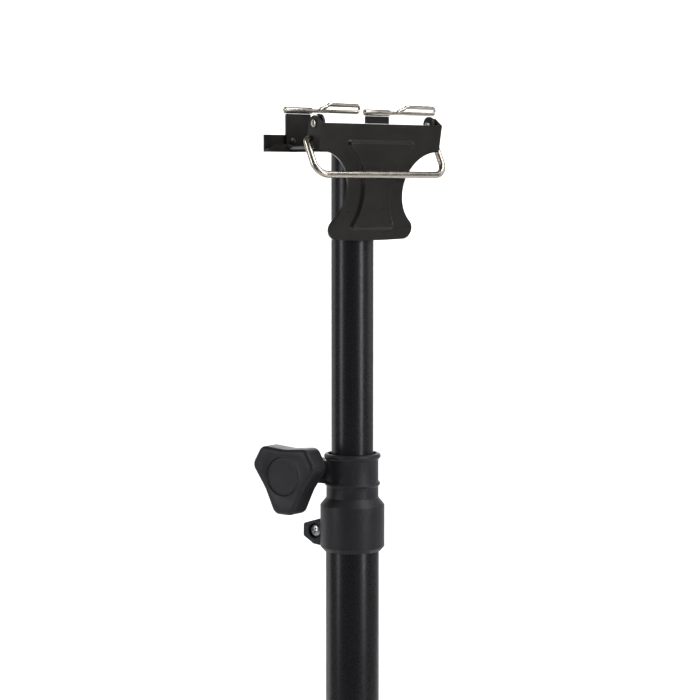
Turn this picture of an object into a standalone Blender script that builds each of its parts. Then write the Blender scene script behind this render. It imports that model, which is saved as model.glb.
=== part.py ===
"""C-stand with a draw-latch head: telescoping riser, split clamp collar and swivelling tripod legs.

Metres, +Z up. The column's axis is the Z axis, the floor is z = 0 and the latch lever faces -Y.
"""

import math

import bmesh
import bpy
from mathutils import Vector

# Heights above the floor
RIM_Z = 0.620                     # middle of the collar's rim bead
HEAD_Z = RIM_Z + 0.232            # top edge of the latch lever
COLUMN_BASE_Z = 0.0043
RISER_BASE_Z = 0.300
HUB_HEIGHTS = {"c": 0.1025, "b": 0.1340, "a": 0.1655}

# Tubes and running clearance
GAP = 0.0003
COLUMN_R, RISER_R, LEG_R = 0.019, 0.015, 0.011
TUBE_WALL = 0.0015
FACETS = 24                       # sides of the larger round pieces
BORE_R = COLUMN_R + GAP           # anything that goes round the column
SHEET = 0.002                     # folded steel of the lever and the saddle
RAIL_SHEET = 0.0016

# Base
LEG_TURNS = {"a": -90.0, "b": 30.0, "c": 150.0}
LEG_REACH = 0.395
FOOT_R, SOLE_Z = 0.0142, 0.0130
HUB_R, HUB_HALF = 0.0245, 0.015
SOCKET_R, SOCKET_END, SOCKET_FLOOR = 0.0138, 0.048, 0.030
LEG_SCREW_X = 0.040
STOP_LOW_Z, STOP_HIGH_Z, STOP_HALF, STOP_R, STOP_SCREW_R = 0.0802, 0.1879, 0.0067, 0.0240, 0.0021

# Collar, clamp and knob. Their local frame has the clamp lugs at +Y and the knob at -X.
COLLAR_TURN = math.radians(17.0)
SLIT_HALF = 0.0013
LUG_HALF = 0.0078
CLAMP_Y, CLAMP_Z = 0.030, -0.0126
CLAMP_LUG_R = 0.0083
LOWER_Y, LOWER_Z = 0.0276, -0.0556
SEAT_R, SEAT_DEPTH = 0.0057, 0.0030        # the lower screw's recess in its lug
CLAMP_BOLT_R, LOWER_SCREW_R = 0.003, 0.0025
KNOB_BACK, KNOB_FRONT = -0.026, -0.043
LOBE_END, LOBE_SIDE, LOBE_CORNER = 0.0273, 0.0207, 0.0062  # from the bolt to a lobe's end and to a side
SIDE_HOLLOW, HOLLOW_R = 0.0010, 0.060
CAP_R = 0.01345

# Latch head
LEVER_LEAN = math.radians(10.8)
PIVOT_Y, PIVOT_Z = -0.0257, HEAD_Z + 0.0010
PIVOT_DEPTH, PIVOT_DROP = 0.0089, 0.0017   # behind the lever's face, below its top edge
LEVER_HALF, BAR_DROP = 0.053, 0.0185
WAIST_X, WAIST_Z, WAIST_R = 0.0522, -0.0468, 0.028
LOBE_X, LOBE_TIP_R, LEVER_LENGTH = 0.0294, 0.0072, 0.0815
PANEL_X, PANEL_Z, PANEL_R = 0.0545, -0.0485, 0.0410        # the panel's concave sides
PANEL_TOP, PANEL_BASE, PANEL_CORNER = -0.0110, -0.0742, 0.0032
PANEL_RISE, PANEL_SLOPE = 0.0027, 0.0024
FLANGE_DEPTH, EAR_R, EAR_RAISE, FLANGE_EAR_R = 0.015, 0.0056, 0.0009, 0.0054
PIN_R, PIN_HEAD_R = 0.0021, 0.00275
BAIL_R, BAIL_HALF, BAIL_LENGTH, BAIL_BEND = 0.0024, 0.0568, 0.0269, 0.0095
BAIL_END, BAIL_ELBOW = 0.0066, 0.003       # length of the ends that lie in the lever's flanges
BAIL_BACK, BAIL_DROP = 0.0021, 0.0112      # bail pivot behind and below the lever's pivot
BAIL_LEAN = math.radians(-38.2)            # to the lever's own plane
SADDLE_HALF, SADDLE_FRONT, SADDLE_FLOOR = 0.0475, -0.0175, HEAD_Z - 0.0159
SADDLE_BACK, SADDLE_TOP, SADDLE_TOE = 0.0110, HEAD_Z - 0.0030, -0.0222
HEAD_BOLT_R, HEAD_HOLE_R = 0.0040, 0.0043
RAIL_HALF, RAIL_BACK, RAIL_FRONT = 0.0632, 0.0192, 0.012
RAIL_BASE, RAIL_TOP = HEAD_Z - 0.0178, HEAD_Z - 0.0058
LIP_INNER, LIP_RISE, TONGUE_HALF, TONGUE_FRONT = 0.0412, 0.0056, 0.0400, -0.0130
POST_INNER, POST_OUTER, POST_Y, POST_SHEET = 0.0247, 0.0458, 0.01645, 0.0017
POST_LOW, POST_HIGH = HEAD_Z - 0.0147, HEAD_Z + 0.0087
RIVET_R, RIVET_Z, RIVET_STEP = 0.0015, HEAD_Z - 0.0103, 0.0055
CRANK_Z, CRANK_R, BARREL_R = HEAD_Z + 0.0112, 0.0014, 0.0023
BARREL_HALF, CRANK_REACH, CRANK_RISE = 0.0114, 0.0540, 0.0045
CRANK_BESIDE = -0.0033                     # the crank's return leg lies this far in front of the first


# ---------------------------------------------------------------- outlines

def arc(x, y, radius, start, end, steps):
    """Points of an arc, its angles in degrees."""
    turns = [math.radians(start + (end - start) * i / steps) for i in range(steps + 1)]
    return [(x + radius * math.cos(t), y + radius * math.sin(t)) for t in turns]


def rounded(points, radii, steps=4):
    """A closed 2-D outline with each corner turned into an arc of its radius, 0 for sharp."""
    outline = []
    for i, (x, y) in enumerate(points):
        radius = radii[i] if isinstance(radii, (list, tuple)) else radii
        if radius == 0:
            outline.append((x, y))
            continue
        ax, ay = points[i - 1][0] - x, points[i - 1][1] - y
        bx, by = points[(i + 1) % len(points)][0] - x, points[(i + 1) % len(points)][1] - y
        a, b = math.hypot(ax, ay), math.hypot(bx, by)
        ax, ay, bx, by = ax / a, ay / a, bx / b, by / b
        half = math.acos(max(-1.0, min(1.0, ax * bx + ay * by))) / 2
        reach = radius / math.tan(half)
        mx, my = ax + bx, ay + by
        m = math.hypot(mx, my)
        cx, cy = x + mx / m * radius / math.sin(half), y + my / m * radius / math.sin(half)
        first = math.atan2(y + ay * reach - cy, x + ax * reach - cx)
        last = math.atan2(y + by * reach - cy, x + bx * reach - cx)
        turn = (last - first + math.pi) % math.tau - math.pi
        for k in range(steps + 1):
            t = first + turn * k / steps
            outline.append((cx + radius * math.cos(t), cy + radius * math.sin(t)))
    return outline


def circle(x, y, radius, steps=20):
    return arc(x, y, radius, 0, 360, steps)[:-1]


def smooth_path(points, radius, steps=6):
    """An open 3-D path with its inner corners turned into arcs."""
    path = [points[0]]
    for before, corner, after in zip(points, points[1:], points[2:]):
        a = [p - c for p, c in zip(before, corner)]
        b = [p - c for p, c in zip(after, corner)]
        a_len, b_len = math.hypot(*a), math.hypot(*b)
        a, b = [v / a_len for v in a], [v / b_len for v in b]
        half = math.acos(sum(p * q for p, q in zip(a, b))) / 2
        reach = radius / math.tan(half)
        middle = [p + q for p, q in zip(a, b)]
        m = math.hypot(*middle)
        middle = [v / m for v in middle]
        centre = [c + v * radius / math.sin(half) for c, v in zip(corner, middle)]
        first = [c + v * reach - o for c, v, o in zip(corner, a, centre)]
        last = [c + v * reach - o for c, v, o in zip(corner, b, centre)]
        turn = math.pi - 2 * half
        for k in range(steps + 1):
            p = math.sin(turn * (1 - k / steps)) / math.sin(turn)
            q = math.sin(turn * k / steps) / math.sin(turn)
            path.append(tuple(o + p * f + q * e for o, f, e in zip(centre, first, last)))
    path.append(points[-1])
    return path


def lobed_outline(inset, steps=5):
    """The knob's three blunt lobes and slightly hollow sides, in its local Y and Z about the bolt."""
    end, side = LOBE_END - inset, LOBE_SIDE - inset
    half = (side - end * 0.5) / math.sin(math.radians(60))
    corners, radii = [], []
    for k in range(3):
        turn = math.radians(-90 + 120 * k)
        for across in (-half, half):
            corners.append((end * math.cos(turn) - across * math.sin(turn),
                            end * math.sin(turn) + across * math.cos(turn)))
        middle = turn + math.radians(60)
        hollow = side - SIDE_HOLLOW
        corners.append((hollow * math.cos(middle), hollow * math.sin(middle)))
        radii += [LOBE_CORNER - inset, LOBE_CORNER - inset, HOLLOW_R + inset]
    return rounded(corners, radii, steps)


# ---------------------------------------------------------------- solids

def fill(bm, *loops):
    """One flat face inside the first loop, with the other loops as its holes."""
    edges = []
    for loop in loops:
        verts = [bm.verts.new(point) for point in loop]
        edges += [bm.edges.new((verts[i - 1], verts[i])) for i in range(len(verts))]
    bmesh.ops.triangle_fill(bm, use_beauty=True, use_dissolve=False, edges=edges)


def skin(bm, rings, closed_ends=True):
    """Bridges rings of as many points each; the end rings are capped."""
    rows = [[bm.verts.new(point) for point in ring] for ring in rings]
    count = len(rows[0])
    for low, high in zip(rows, rows[1:]):
        for i in range(count):
            j = (i + 1) % count
            bm.faces.new((low[i], low[j], high[j], high[i]))
    if closed_ends:
        bm.faces.new(rows[0])
        bm.faces.new(rows[-1])


def along(axis, outline, value):
    """A 2-D outline as 3-D points in the plane across an axis."""
    if axis == "x":
        return [(value, a, b) for a, b in outline]
    if axis == "y":
        return [(a, value, b) for a, b in outline]
    return [(a, b, value) for a, b in outline]


def turned(bm, profile, segments=FACETS, sweep=360.0, start=0.0):
    """Turns a closed (radius, z) profile about Z; a sweep under 360 leaves a slit, with flat ends."""
    count = segments if sweep == 360 else segments + 1
    rows = []
    for k in range(count):
        t = math.radians(start + sweep * k / segments)
        rows.append([bm.verts.new((r * math.cos(t), r * math.sin(t), z)) for r, z in profile])
    pairs = list(zip(rows, rows[1:])) + ([(rows[-1], rows[0])] if sweep == 360 else [])
    for first, second in pairs:
        for i in range(len(profile)):
            j = (i + 1) % len(profile)
            bm.faces.new((first[i], second[i], second[j], first[j]))
    if sweep != 360:
        bm.faces.new(rows[0])
        bm.faces.new(rows[-1])
    bmesh.ops.remove_doubles(bm, verts=bm.verts, dist=1e-7)


def point_x(bm):
    """Lays a solid that was turned about Z along X."""
    for vert in bm.verts:
        x, y, z = vert.co
        vert.co = (z, y, -x)


def swept(bm, path, radius, sides, inner=0.0):
    """A round bar, or a tube with open ends, along a path that lies in one plane."""
    rings = []
    for i, here in enumerate(path):
        before, after = path[max(i - 1, 0)], path[min(i + 1, len(path) - 1)]
        ahead = [b - a for a, b in zip(before, after)]
        length = math.hypot(*ahead)
        rings.append((here, [v / length for v in ahead]))
    normal = plane_normal(path)

    def ring(size):
        rows = []
        for here, ahead in rings:
            side = [ahead[1] * normal[2] - ahead[2] * normal[1],
                    ahead[2] * normal[0] - ahead[0] * normal[2],
                    ahead[0] * normal[1] - ahead[1] * normal[0]]
            rows.append([tuple(h + size * (math.cos(t) * s + math.sin(t) * n)
                               for h, s, n in zip(here, side, normal))
                         for t in [math.tau * (k + 0.5) / sides for k in range(sides)]])
        return rows

    outer = ring(radius)
    if inner:
        rows = outer + ring(inner)[::-1] + outer[:1]
        skin(bm, rows, closed_ends=False)
        bmesh.ops.remove_doubles(bm, verts=bm.verts, dist=1e-7)
    else:
        skin(bm, outer)


def plane_normal(path):
    """The unit normal of the plane that a bent path lies in."""
    start = path[0]
    best, size = (0.0, 1.0, 0.0), 0.0
    for a, b in zip(path[1:], path[2:]):
        u = [p - q for p, q in zip(a, start)]
        v = [p - q for p, q in zip(b, start)]
        cross = [u[1] * v[2] - u[2] * v[1], u[2] * v[0] - u[0] * v[2], u[0] * v[1] - u[1] * v[0]]
        length = math.hypot(*cross)
        if length > size:
            best, size = [c / length for c in cross], length
    return best


def node(name, bm, finish, place=(0, 0, 0), parent=None, turn=(0, 0, 0)):
    """Makes a named object of a bmesh, with its origin at place."""
    bmesh.ops.recalc_face_normals(bm, faces=bm.faces)
    mesh = bpy.data.meshes.new(name)
    bm.to_mesh(mesh)
    bm.free()
    if finish:
        mesh.materials.append(FINISHES[finish])
    mesh.shade_smooth()
    mesh.set_sharp_from_angle(angle=math.radians(35))
    item = bpy.data.objects.new(name, mesh)
    bpy.context.scene.collection.objects.link(item)
    item.location = place
    item.rotation_euler = turn
    item.parent = parent
    return item


def pivot(name, place, turn=(0, 0, 0), parent=None):
    empty = bpy.data.objects.new(name, None)
    bpy.context.scene.collection.objects.link(empty)
    empty.location = place
    empty.rotation_euler = turn
    empty.parent = parent
    return empty


def tool(name, bm, place=(0, 0, 0), parent=None, turn=(0, 0, 0)):
    """A hidden solid for a Boolean."""
    item = node(name, bm, None, place, parent, turn)
    item.hide_render = True
    item.display_type = "WIRE"
    return item


def combine(item, other, operation):
    step = item.modifiers.new(other.name, "BOOLEAN")
    step.operation = operation
    step.solver = "EXACT"
    step.object = other


def fold(item, thickness):
    """Gives a folded surface its sheet thickness, on the side away from its normals."""
    sheet = item.modifiers.new("sheet", "SOLIDIFY")
    sheet.thickness = thickness
    sheet.offset = -1.0
    sheet.use_even_offset = True


def face_way(bm, probe, wanted):
    """Turns a whole surface so that its face across the wanted way, nearest to a point, looks that way."""
    bmesh.ops.remove_doubles(bm, verts=bm.verts, dist=1e-6)
    bmesh.ops.recalc_face_normals(bm, faces=bm.faces)
    across = [face for face in bm.faces if abs(face.normal.dot(wanted)) > 0.9]
    nearest = min(across, key=lambda face: (face.calc_center_median() - Vector(probe)).length)
    if nearest.normal.dot(wanted) < 0:
        bmesh.ops.reverse_faces(bm, faces=bm.faces)


def sheet_node(name, bm, finish, probe, wanted, thickness, place=(0, 0, 0), parent=None, turn=(0, 0, 0)):
    """A folded-sheet object, whose surface looks the wanted way at the probe point."""
    face_way(bm, probe, Vector(wanted))
    mesh = bpy.data.meshes.new(name)
    bm.to_mesh(mesh)
    bm.free()
    mesh.materials.append(FINISHES[finish])
    mesh.shade_smooth()
    mesh.set_sharp_from_angle(angle=math.radians(25))
    item = bpy.data.objects.new(name, mesh)
    bpy.context.scene.collection.objects.link(item)
    item.location = place
    item.rotation_euler = turn
    item.parent = parent
    fold(item, thickness)
    return item


def rod(radius, low, high, chamfer=0.0):
    """The closed profile of a solid round bar from low to high."""
    if not chamfer:
        return [(0, low), (radius, low), (radius, high), (0, high)]
    return [(0, low), (radius - chamfer, low), (radius, low + chamfer), (radius, high - chamfer),
            (radius - chamfer, high), (0, high)]


def ring_profile(inner, outer, low, high, chamfer=0.0):
    if not chamfer:
        return [(inner, low), (outer, low), (outer, high), (inner, high)]
    return [(inner, low), (outer - chamfer, low), (outer, low + chamfer), (outer, high - chamfer),
            (outer - chamfer, high), (inner, high)]


def turned_node(name, finish, profile, place=(0, 0, 0), parent=None, segments=FACETS, lying=False,
                turn=(0, 0, 0)):
    bm = bmesh.new()
    turned(bm, profile, segments)
    if lying:
        point_x(bm)
    return node(name, bm, finish, place, parent, turn)


def hexagon_bolt(name, finish, profile, head, place, parent=None, lying=False):
    """A turned shank with a hexagonal head: head is (radius to a flat, low, high)."""
    bm = bmesh.new()
    turned(bm, profile, 12)
    corner = head[0] / math.cos(math.radians(30))
    six = circle(0, 0, corner, 6)
    neck = [(0.85 * x, 0.85 * y) for x, y in six]
    low, high = head[1], head[2]
    chamfer = 0.15 * (high - low)
    edge = [(0.97 * x, 0.97 * y) for x, y in six]
    other = bmesh.new()
    skin(other, [along("z", neck, low), along("z", six, low + chamfer * math.copysign(1, high - low) * 0.5),
                 along("z", six, high - chamfer), along("z", edge, high)])
    if lying:
        point_x(bm)
        point_x(other)
    item = node(name, bm, finish, place, parent)
    combine(item, tool(name + "_head_shape", other, place, parent), "UNION")
    return item


# ---------------------------------------------------------------- base

def make_column():
    turned_node("column_tube", "black_paint",
                ring_profile(COLUMN_R - TUBE_WALL, COLUMN_R, COLUMN_BASE_Z, RIM_Z - 0.0333))
    turned_node("column_end_cap", "black_nylon",
                [(0, 0), (0.0200, 0), (0.0215, 0.0015), (0.0215, 0.0040), (0.0172, 0.0040),
                 (0.0172, 0.0280), (0.0160, 0.0300), (0, 0.0300)])


def make_stop_rings():
    """Two set-screwed rings that hold the stack of hubs on the column."""
    for name, middle in (("low", STOP_LOW_Z), ("high", STOP_HIGH_Z)):
        low, high = middle - STOP_HALF, middle + STOP_HALF
        ring = turned_node("stop_ring_" + name, "black_paint", ring_profile(BORE_R, STOP_R, low, high, 0.001))
        bm = bmesh.new()
        turned(bm, rod(STOP_SCREW_R + GAP * 1.5, 0.015, 0.030), 10)
        point_x(bm)
        combine(ring, tool("ring_hole_" + name, bm, (0, 0, middle)), "DIFFERENCE")
        screw = rod(STOP_SCREW_R, BORE_R + GAP, STOP_R + 0.0012, chamfer=0.0005)
        turned_node("stop_screw_" + name, "zinc", screw,
                    (0, 0, middle), segments=10, lying=True)


def make_leg(letter):
    """A hub with a socket, the bent leg tube in it, its screw and its rubber foot."""
    height = HUB_HEIGHTS[letter]
    frame = pivot("leg_pivot_" + letter, (0, 0, height), (0, 0, math.radians(LEG_TURNS[letter])))
    hub = turned_node("leg_hub_" + letter, "black_paint",
                      ring_profile(BORE_R, HUB_R, -HUB_HALF, HUB_HALF, 0.0012), parent=frame)
    socket = bmesh.new()
    turned(socket, rod(SOCKET_R, 0.0205, SOCKET_END, chamfer=0.0008), 20)
    point_x(socket)
    combine(hub, tool("socket_shape_" + letter, socket, parent=frame), "UNION")
    bore = bmesh.new()
    turned(bore, rod(LEG_R + GAP * 2, SOCKET_FLOOR, SOCKET_END + 0.010), 20)
    point_x(bore)
    combine(hub, tool("socket_bore_" + letter, bore, parent=frame), "DIFFERENCE")
    hole = bmesh.new()
    turned(hole, rod(0.0029, 0.0050, 0.0200), 10)
    hole_tool = tool("leg_screw_hole_" + letter, hole, (LEG_SCREW_X, 0, 0), frame)
    combine(hub, hole_tool, "DIFFERENCE")

    floor_z = SOLE_Z - height
    corners = [(SOCKET_FLOOR + 0.0010, 0, 0), (0.085, 0, 0), (0.325, 0, floor_z), (LEG_REACH, 0, floor_z)]
    tube = bmesh.new()
    swept(tube, smooth_path(corners, 0.075, 5), LEG_R, 14, LEG_R - TUBE_WALL)
    leg = node("leg_tube_" + letter, tube, "black_paint", parent=frame)
    combine(leg, hole_tool, "DIFFERENCE")

    turned_node("leg_screw_" + letter, "zinc",
                [(0, 0.0070), (0.0025, 0.0070), (0.0025, 0.0141), (0.0044, 0.0141), (0.0044, 0.0152),
                 (0.0036, 0.0163), (0.0016, 0.0163), (0.0016, 0.0150), (0, 0.0150)],
                (LEG_SCREW_X, 0, 0), frame, segments=12)

    sole = math.degrees(math.asin(SOLE_Z / FOOT_R))
    outline = arc(0, 0, FOOT_R, -sole, 180 + sole, 16)
    small = [(0.88 * y, max(0.88 * z, -SOLE_Z)) for y, z in outline]
    cap = bmesh.new()
    skin(cap, [along("x", small, 0.0), along("x", outline, 0.002), along("x", outline, 0.034),
               along("x", small, 0.037)])
    foot = node("leg_foot_" + letter, cap, "rubber", (LEG_REACH - 0.033, 0, floor_z), frame)
    bore = bmesh.new()
    turned(bore, rod(LEG_R + GAP * 2, -0.010, 0.0335), 18)
    point_x(bore)
    combine(foot, tool("foot_bore_" + letter, bore, (LEG_REACH - 0.033, 0, floor_z), frame), "DIFFERENCE")


# ---------------------------------------------------------------- collar, clamp and knob

def collar_profile():
    bead = arc(0.0181, 0.0, 0.0021, 90, -76, 5)
    second = arc(0.0180, -0.0196, 0.0018, 70, -70, 4)
    outside = [(0.0174, 0.0019)] + bead + second
    outside += [(0.0186, -0.0294), (0.0229, -0.0348), (0.0229, -0.0645), (0.0203, -0.0675)]
    inside = [(BORE_R, -0.0675), (BORE_R, -0.0329), (0.0156, -0.0329), (0.0156, -0.0315),
              (0.0170, -0.0315), (0.0170, 0.0010)]
    return outside + inside


def slit(radius):
    """Start and sweep, in degrees, of a ring that leaves the clamp's slit open at +Y."""
    half = math.degrees(math.asin(SLIT_HALF / radius))
    return 90 + half, 360 - 2 * half


def make_collar(frame):
    start, sweep = slit(0.018)
    bm = bmesh.new()
    turned(bm, collar_profile(), 30, sweep, start)
    collar = node("collar_body", bm, "black_nylon", parent=frame)
    upper = arc(CLAMP_Y, CLAMP_Z, CLAMP_LUG_R, -90, 90, 10)
    upper += [(0.0140, CLAMP_Z + CLAMP_LUG_R), (0.0140, CLAMP_Z - CLAMP_LUG_R)]
    lower = [(0.0180, -0.0445), (0.0262, -0.0472), (0.0376, -0.0507), (0.0378, -0.0599), (0.0288, -0.0652),
             (0.0180, -0.0662)]
    lower = rounded(lower, [0, 0, 0.001, 0.001, 0.001, 0], 2)
    for part, outline, inner_r, inner_low, inner_high in (("upper", upper, 0.0176, -0.030, 0.004),
                                                          ("lower", lower, 0.0206, -0.070, -0.036)):
        for side, low, high in (("near", -LUG_HALF, -SLIT_HALF), ("far", SLIT_HALF, LUG_HALF)):
            bm = bmesh.new()
            skin(bm, [along("x", outline, low), along("x", outline, high)])
            lug = tool("%s_lug_%s" % (part, side), bm, parent=frame)
            bm = bmesh.new()
            turned(bm, rod(inner_r, inner_low, inner_high), 30)
            combine(lug, tool("%s_lug_%s_inside" % (part, side), bm, parent=frame), "DIFFERENCE")
            combine(collar, lug, "UNION")
    seat_floor, through = SEAT_DEPTH - LUG_HALF, 0.012
    holes = (("clamp_hole", CLAMP_Y, CLAMP_Z, CLAMP_BOLT_R + GAP, through),
             ("lower_hole", LOWER_Y, LOWER_Z, LOWER_SCREW_R + GAP, through),
             ("lower_seat", LOWER_Y, LOWER_Z, SEAT_R, seat_floor))
    for name, y, z, radius, high in holes:
        bm = bmesh.new()
        turned(bm, rod(radius, -through, high), 14)
        point_x(bm)
        combine(collar, tool(name, bm, (0, y, z), frame), "DIFFERENCE")

    start, sweep = slit(0.016)
    bm = bmesh.new()
    turned(bm, ring_profile(RISER_R + GAP, 0.0167, -0.0312, -0.0015), FACETS, sweep, start)
    node("friction_sleeve", bm, "white_nylon", parent=frame)


def make_fasteners(frame):
    hexagon_bolt("clamp_nut", "zinc", ring_profile(CLAMP_BOLT_R + GAP, 0.0046, 0.0081, 0.0125),
                 (0.0050, 0.0082, 0.0124), (0, CLAMP_Y, CLAMP_Z), frame, lying=True)
    bm = bmesh.new()
    turned(bm, rod(CLAMP_BOLT_R + GAP * 1.5, 0.0, 0.020), 12)
    point_x(bm)
    nut_bore = tool("clamp_nut_bore", bm, (0, CLAMP_Y, CLAMP_Z), frame)
    combine(bpy.data.objects["clamp_nut"], nut_bore, "DIFFERENCE")
    under = SEAT_DEPTH - LUG_HALF - GAP
    turned_node("lower_screw", "zinc",
                [(0, under - 0.0009), (0.0012, under - 0.0009), (0.0012, under - 0.0022),
                 (0.0030, under - 0.0022), (0.0041, under - 0.0015), (0.0045, under - 0.0005), (0.0045, under),
                 (LOWER_SCREW_R, under),
                 (LOWER_SCREW_R, 0.0125), (0, 0.0125)],
                (0, LOWER_Y, LOWER_Z), frame, segments=14, lying=True)
    hexagon_bolt("lower_nut", "zinc", ring_profile(LOWER_SCREW_R + GAP, 0.0036, 0.0081, 0.0118),
                 (0.0040, 0.0082, 0.0117), (0, LOWER_Y, LOWER_Z), frame, lying=True)
    bm = bmesh.new()
    turned(bm, rod(LOWER_SCREW_R + GAP * 1.5, 0.0, 0.020), 12)
    point_x(bm)
    nut_bore = tool("lower_nut_bore", bm, (0, LOWER_Y, LOWER_Z), frame)
    combine(bpy.data.objects["lower_nut"], nut_bore, "DIFFERENCE")


def make_knob(frame):
    axis = pivot("knob_axis", (0, CLAMP_Y, CLAMP_Z), parent=frame)
    turned_node("clamp_washer", "zinc", ring_profile(CLAMP_BOLT_R + GAP, 0.0072, -0.0092, -0.0081),
                parent=axis, segments=18, lying=True)
    steps = ((KNOB_BACK, 0.0025), (KNOB_BACK - 0.0010, 0.0008), (KNOB_BACK - 0.0025, 0.0),
             (KNOB_FRONT + 0.0030, 0.0), (KNOB_FRONT + 0.0010, 0.0008), (KNOB_FRONT, 0.0026))
    bm = bmesh.new()
    skin(bm, [along("x", lobed_outline(inset), x) for x, inset in steps])
    knob = node("knob_body", bm, "black_nylon", parent=axis)
    hub = bmesh.new()
    turned(hub, [(0, -0.030), (0.0085, -0.030), (0.0085, KNOB_BACK), (0.0066, -0.0225), (0.0066, -0.0100),
                 (0.0060, -0.0095), (0, -0.0095)], 18)
    point_x(hub)
    combine(knob, tool("knob_hub_shape", hub, parent=axis), "UNION")
    for name, profile, sides in (("knob_recess", rod(CAP_R + GAP, -0.050, -0.0363), FACETS),
                                 ("knob_bore", rod(CLAMP_BOLT_R + GAP, -0.040, 0.0), 12)):
        bm = bmesh.new()
        turned(bm, profile, sides)
        point_x(bm)
        combine(knob, tool(name, bm, parent=axis), "DIFFERENCE")
    turned_node("knob_cap", "black_nylon",
                [(0, -0.0421), (CAP_R - 0.0014, -0.0423), (CAP_R - 0.0004, -0.0421), (CAP_R, -0.0415),
                 (CAP_R, -0.0410), (0, -0.0410)], parent=axis, lying=True)
    hexagon_bolt("clamp_bolt", "zinc", rod(CLAMP_BOLT_R, -0.0380, 0.0150, chamfer=0.0004),
                 (0.0050, -0.0366, -0.0406), (0, 0, 0), axis, lying=True)


# ---------------------------------------------------------------- riser

def make_riser():
    top = RAIL_BASE - GAP
    turned_node("riser_tube", "black_paint", ring_profile(RISER_R - TUBE_WALL, RISER_R, RISER_BASE_Z, top))
    bush = ring_profile(RISER_R + GAP, COLUMN_R - TUBE_WALL - GAP, RISER_BASE_Z + 0.002,
                        RISER_BASE_Z + 0.034, 0.0008)
    turned_node("riser_guide", "white_nylon", bush)
    plug = [(0, -0.030), (0.0110, -0.030), (0.0132, -0.026), (0.0132, 0), (HEAD_HOLE_R, 0),
            (HEAD_HOLE_R, -0.0240), (0, -0.0240)]
    turned_node("riser_plug", "black_nylon", plug, (0, 0, top - GAP))
    floor_top = SADDLE_FLOOR + SHEET
    washer = ring_profile(HEAD_HOLE_R, 0.0085, GAP, 0.0019)
    turned_node("head_washer", "zinc", washer, (0, 0, floor_top), segments=18)
    shank = rod(HEAD_BOLT_R, -0.0260, 0.0040, chamfer=0.0006)
    hexagon_bolt("head_bolt", "zinc", shank, (0.0065, 0.0022, 0.0073), (0, 0, floor_top))


# ---------------------------------------------------------------- latch head

def mirror_loop(half):
    """A closed (x, z) outline from its +X half, which starts and ends on the centre line."""
    return half + [(-x, z) for x, z in reversed(half) if x > 1e-9]


def lever_half():
    """From the middle of the top edge, down the concave side and round the lobe, to the bottom."""
    reach = WAIST_R + LOBE_TIP_R
    lobe_z = WAIST_Z - math.sqrt(reach ** 2 - (WAIST_X - LOBE_X) ** 2)
    meet = math.degrees(math.atan2(lobe_z - WAIST_Z, LOBE_X - WAIST_X)) % 360
    start = math.degrees(math.atan2(-BAR_DROP - WAIST_Z, LEVER_HALF - WAIST_X))
    side = arc(WAIST_X, WAIST_Z, WAIST_R, start, meet, 16)
    side[0] = (LEVER_HALF, -BAR_DROP)
    tip = arc(LOBE_X, lobe_z, LOBE_TIP_R, meet - 180, -84, 8)[1:]
    return [(0, 0), (LEVER_HALF, 0)] + side + tip + [(0.014, -LEVER_LENGTH + 0.0001), (0, -LEVER_LENGTH)]


def panel_half(inset):
    """The raised panel's outline: a circular hollow on each side, and rounded corners."""
    top, base, radius, corner = PANEL_TOP - inset, PANEL_BASE + inset, PANEL_R + inset, PANEL_CORNER - inset

    def corner_place(z):
        x = PANEL_X - math.sqrt((radius + corner) ** 2 - (z - PANEL_Z) ** 2)
        return x, math.degrees(math.atan2(PANEL_Z - z, PANEL_X - x))

    top_x, top_turn = corner_place(top - corner)
    base_x, base_turn = corner_place(base + corner)
    upper = arc(top_x, top - corner, corner, 90, top_turn, 5)
    side = arc(PANEL_X, PANEL_Z, radius, top_turn + 180, base_turn + 180, 12)[1:-1]
    lower = arc(base_x, base + corner, corner, base_turn, -90, 5)
    return [(0, top)] + upper + side + lower + [(0, base)]


def make_lever():
    frame = pivot("lever_pivot", (0, PIVOT_Y, PIVOT_Z), (LEVER_LEAN, 0, 0))
    face = -PIVOT_DEPTH
    raise_z = PIVOT_DROP

    def place(outline, y):
        return [(x, y, z + raise_z) for x, z in outline]

    bm = bmesh.new()
    low, high = mirror_loop(panel_half(0)), mirror_loop(panel_half(PANEL_SLOPE))
    fill(bm, place(mirror_loop(lever_half()), face), place(low, face))
    skin(bm, [place(low, face), place(high, face - PANEL_RISE)], closed_ends=False)
    fill(bm, place(high, face - PANEL_RISE))
    back, bottom = face + FLANGE_DEPTH, raise_z - BAR_DROP
    ear = arc(0, 0, FLANGE_EAR_R, 15, 125, 8)
    outline = [(face, raise_z), (face, bottom), (back - 0.004, bottom)]
    outline += arc(back - 0.004, bottom + 0.004, 0.004, -90, 0, 4)[1:] + [(back, 0.0)] + ear
    for side in (-1, 1):
        x = side * LEVER_HALF
        fill(bm, along("x", outline, x), along("x", circle(0, 0, PIN_R + GAP, 14), x),
             along("x", circle(BAIL_BACK, -BAIL_DROP, BAIL_R + GAP, 16), x))
    sheet_node("lever_plate", bm, "black_gloss", (0, face - PANEL_RISE, -0.04), (0, -1, 0), SHEET,
               parent=frame)

    half = [(BAIL_HALF - BAIL_END, 0, 0), (BAIL_HALF, 0, 0), (BAIL_HALF, 0, -BAIL_LENGTH)]
    right = smooth_path(half + [(0, 0, -BAIL_LENGTH)], BAIL_ELBOW, 4)[:6]
    corner = smooth_path([half[1], half[2], (0, 0, -BAIL_LENGTH)], BAIL_BEND, 6)[1:-1]
    right = right + corner
    path = right + [(-x, y, z) for x, y, z in reversed(right)]
    bm = bmesh.new()
    swept(bm, path, BAIL_R, 10)
    node("pull_bail", bm, "nickel", (0, BAIL_BACK, -BAIL_DROP), frame, (BAIL_LEAN, 0, 0))


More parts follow.
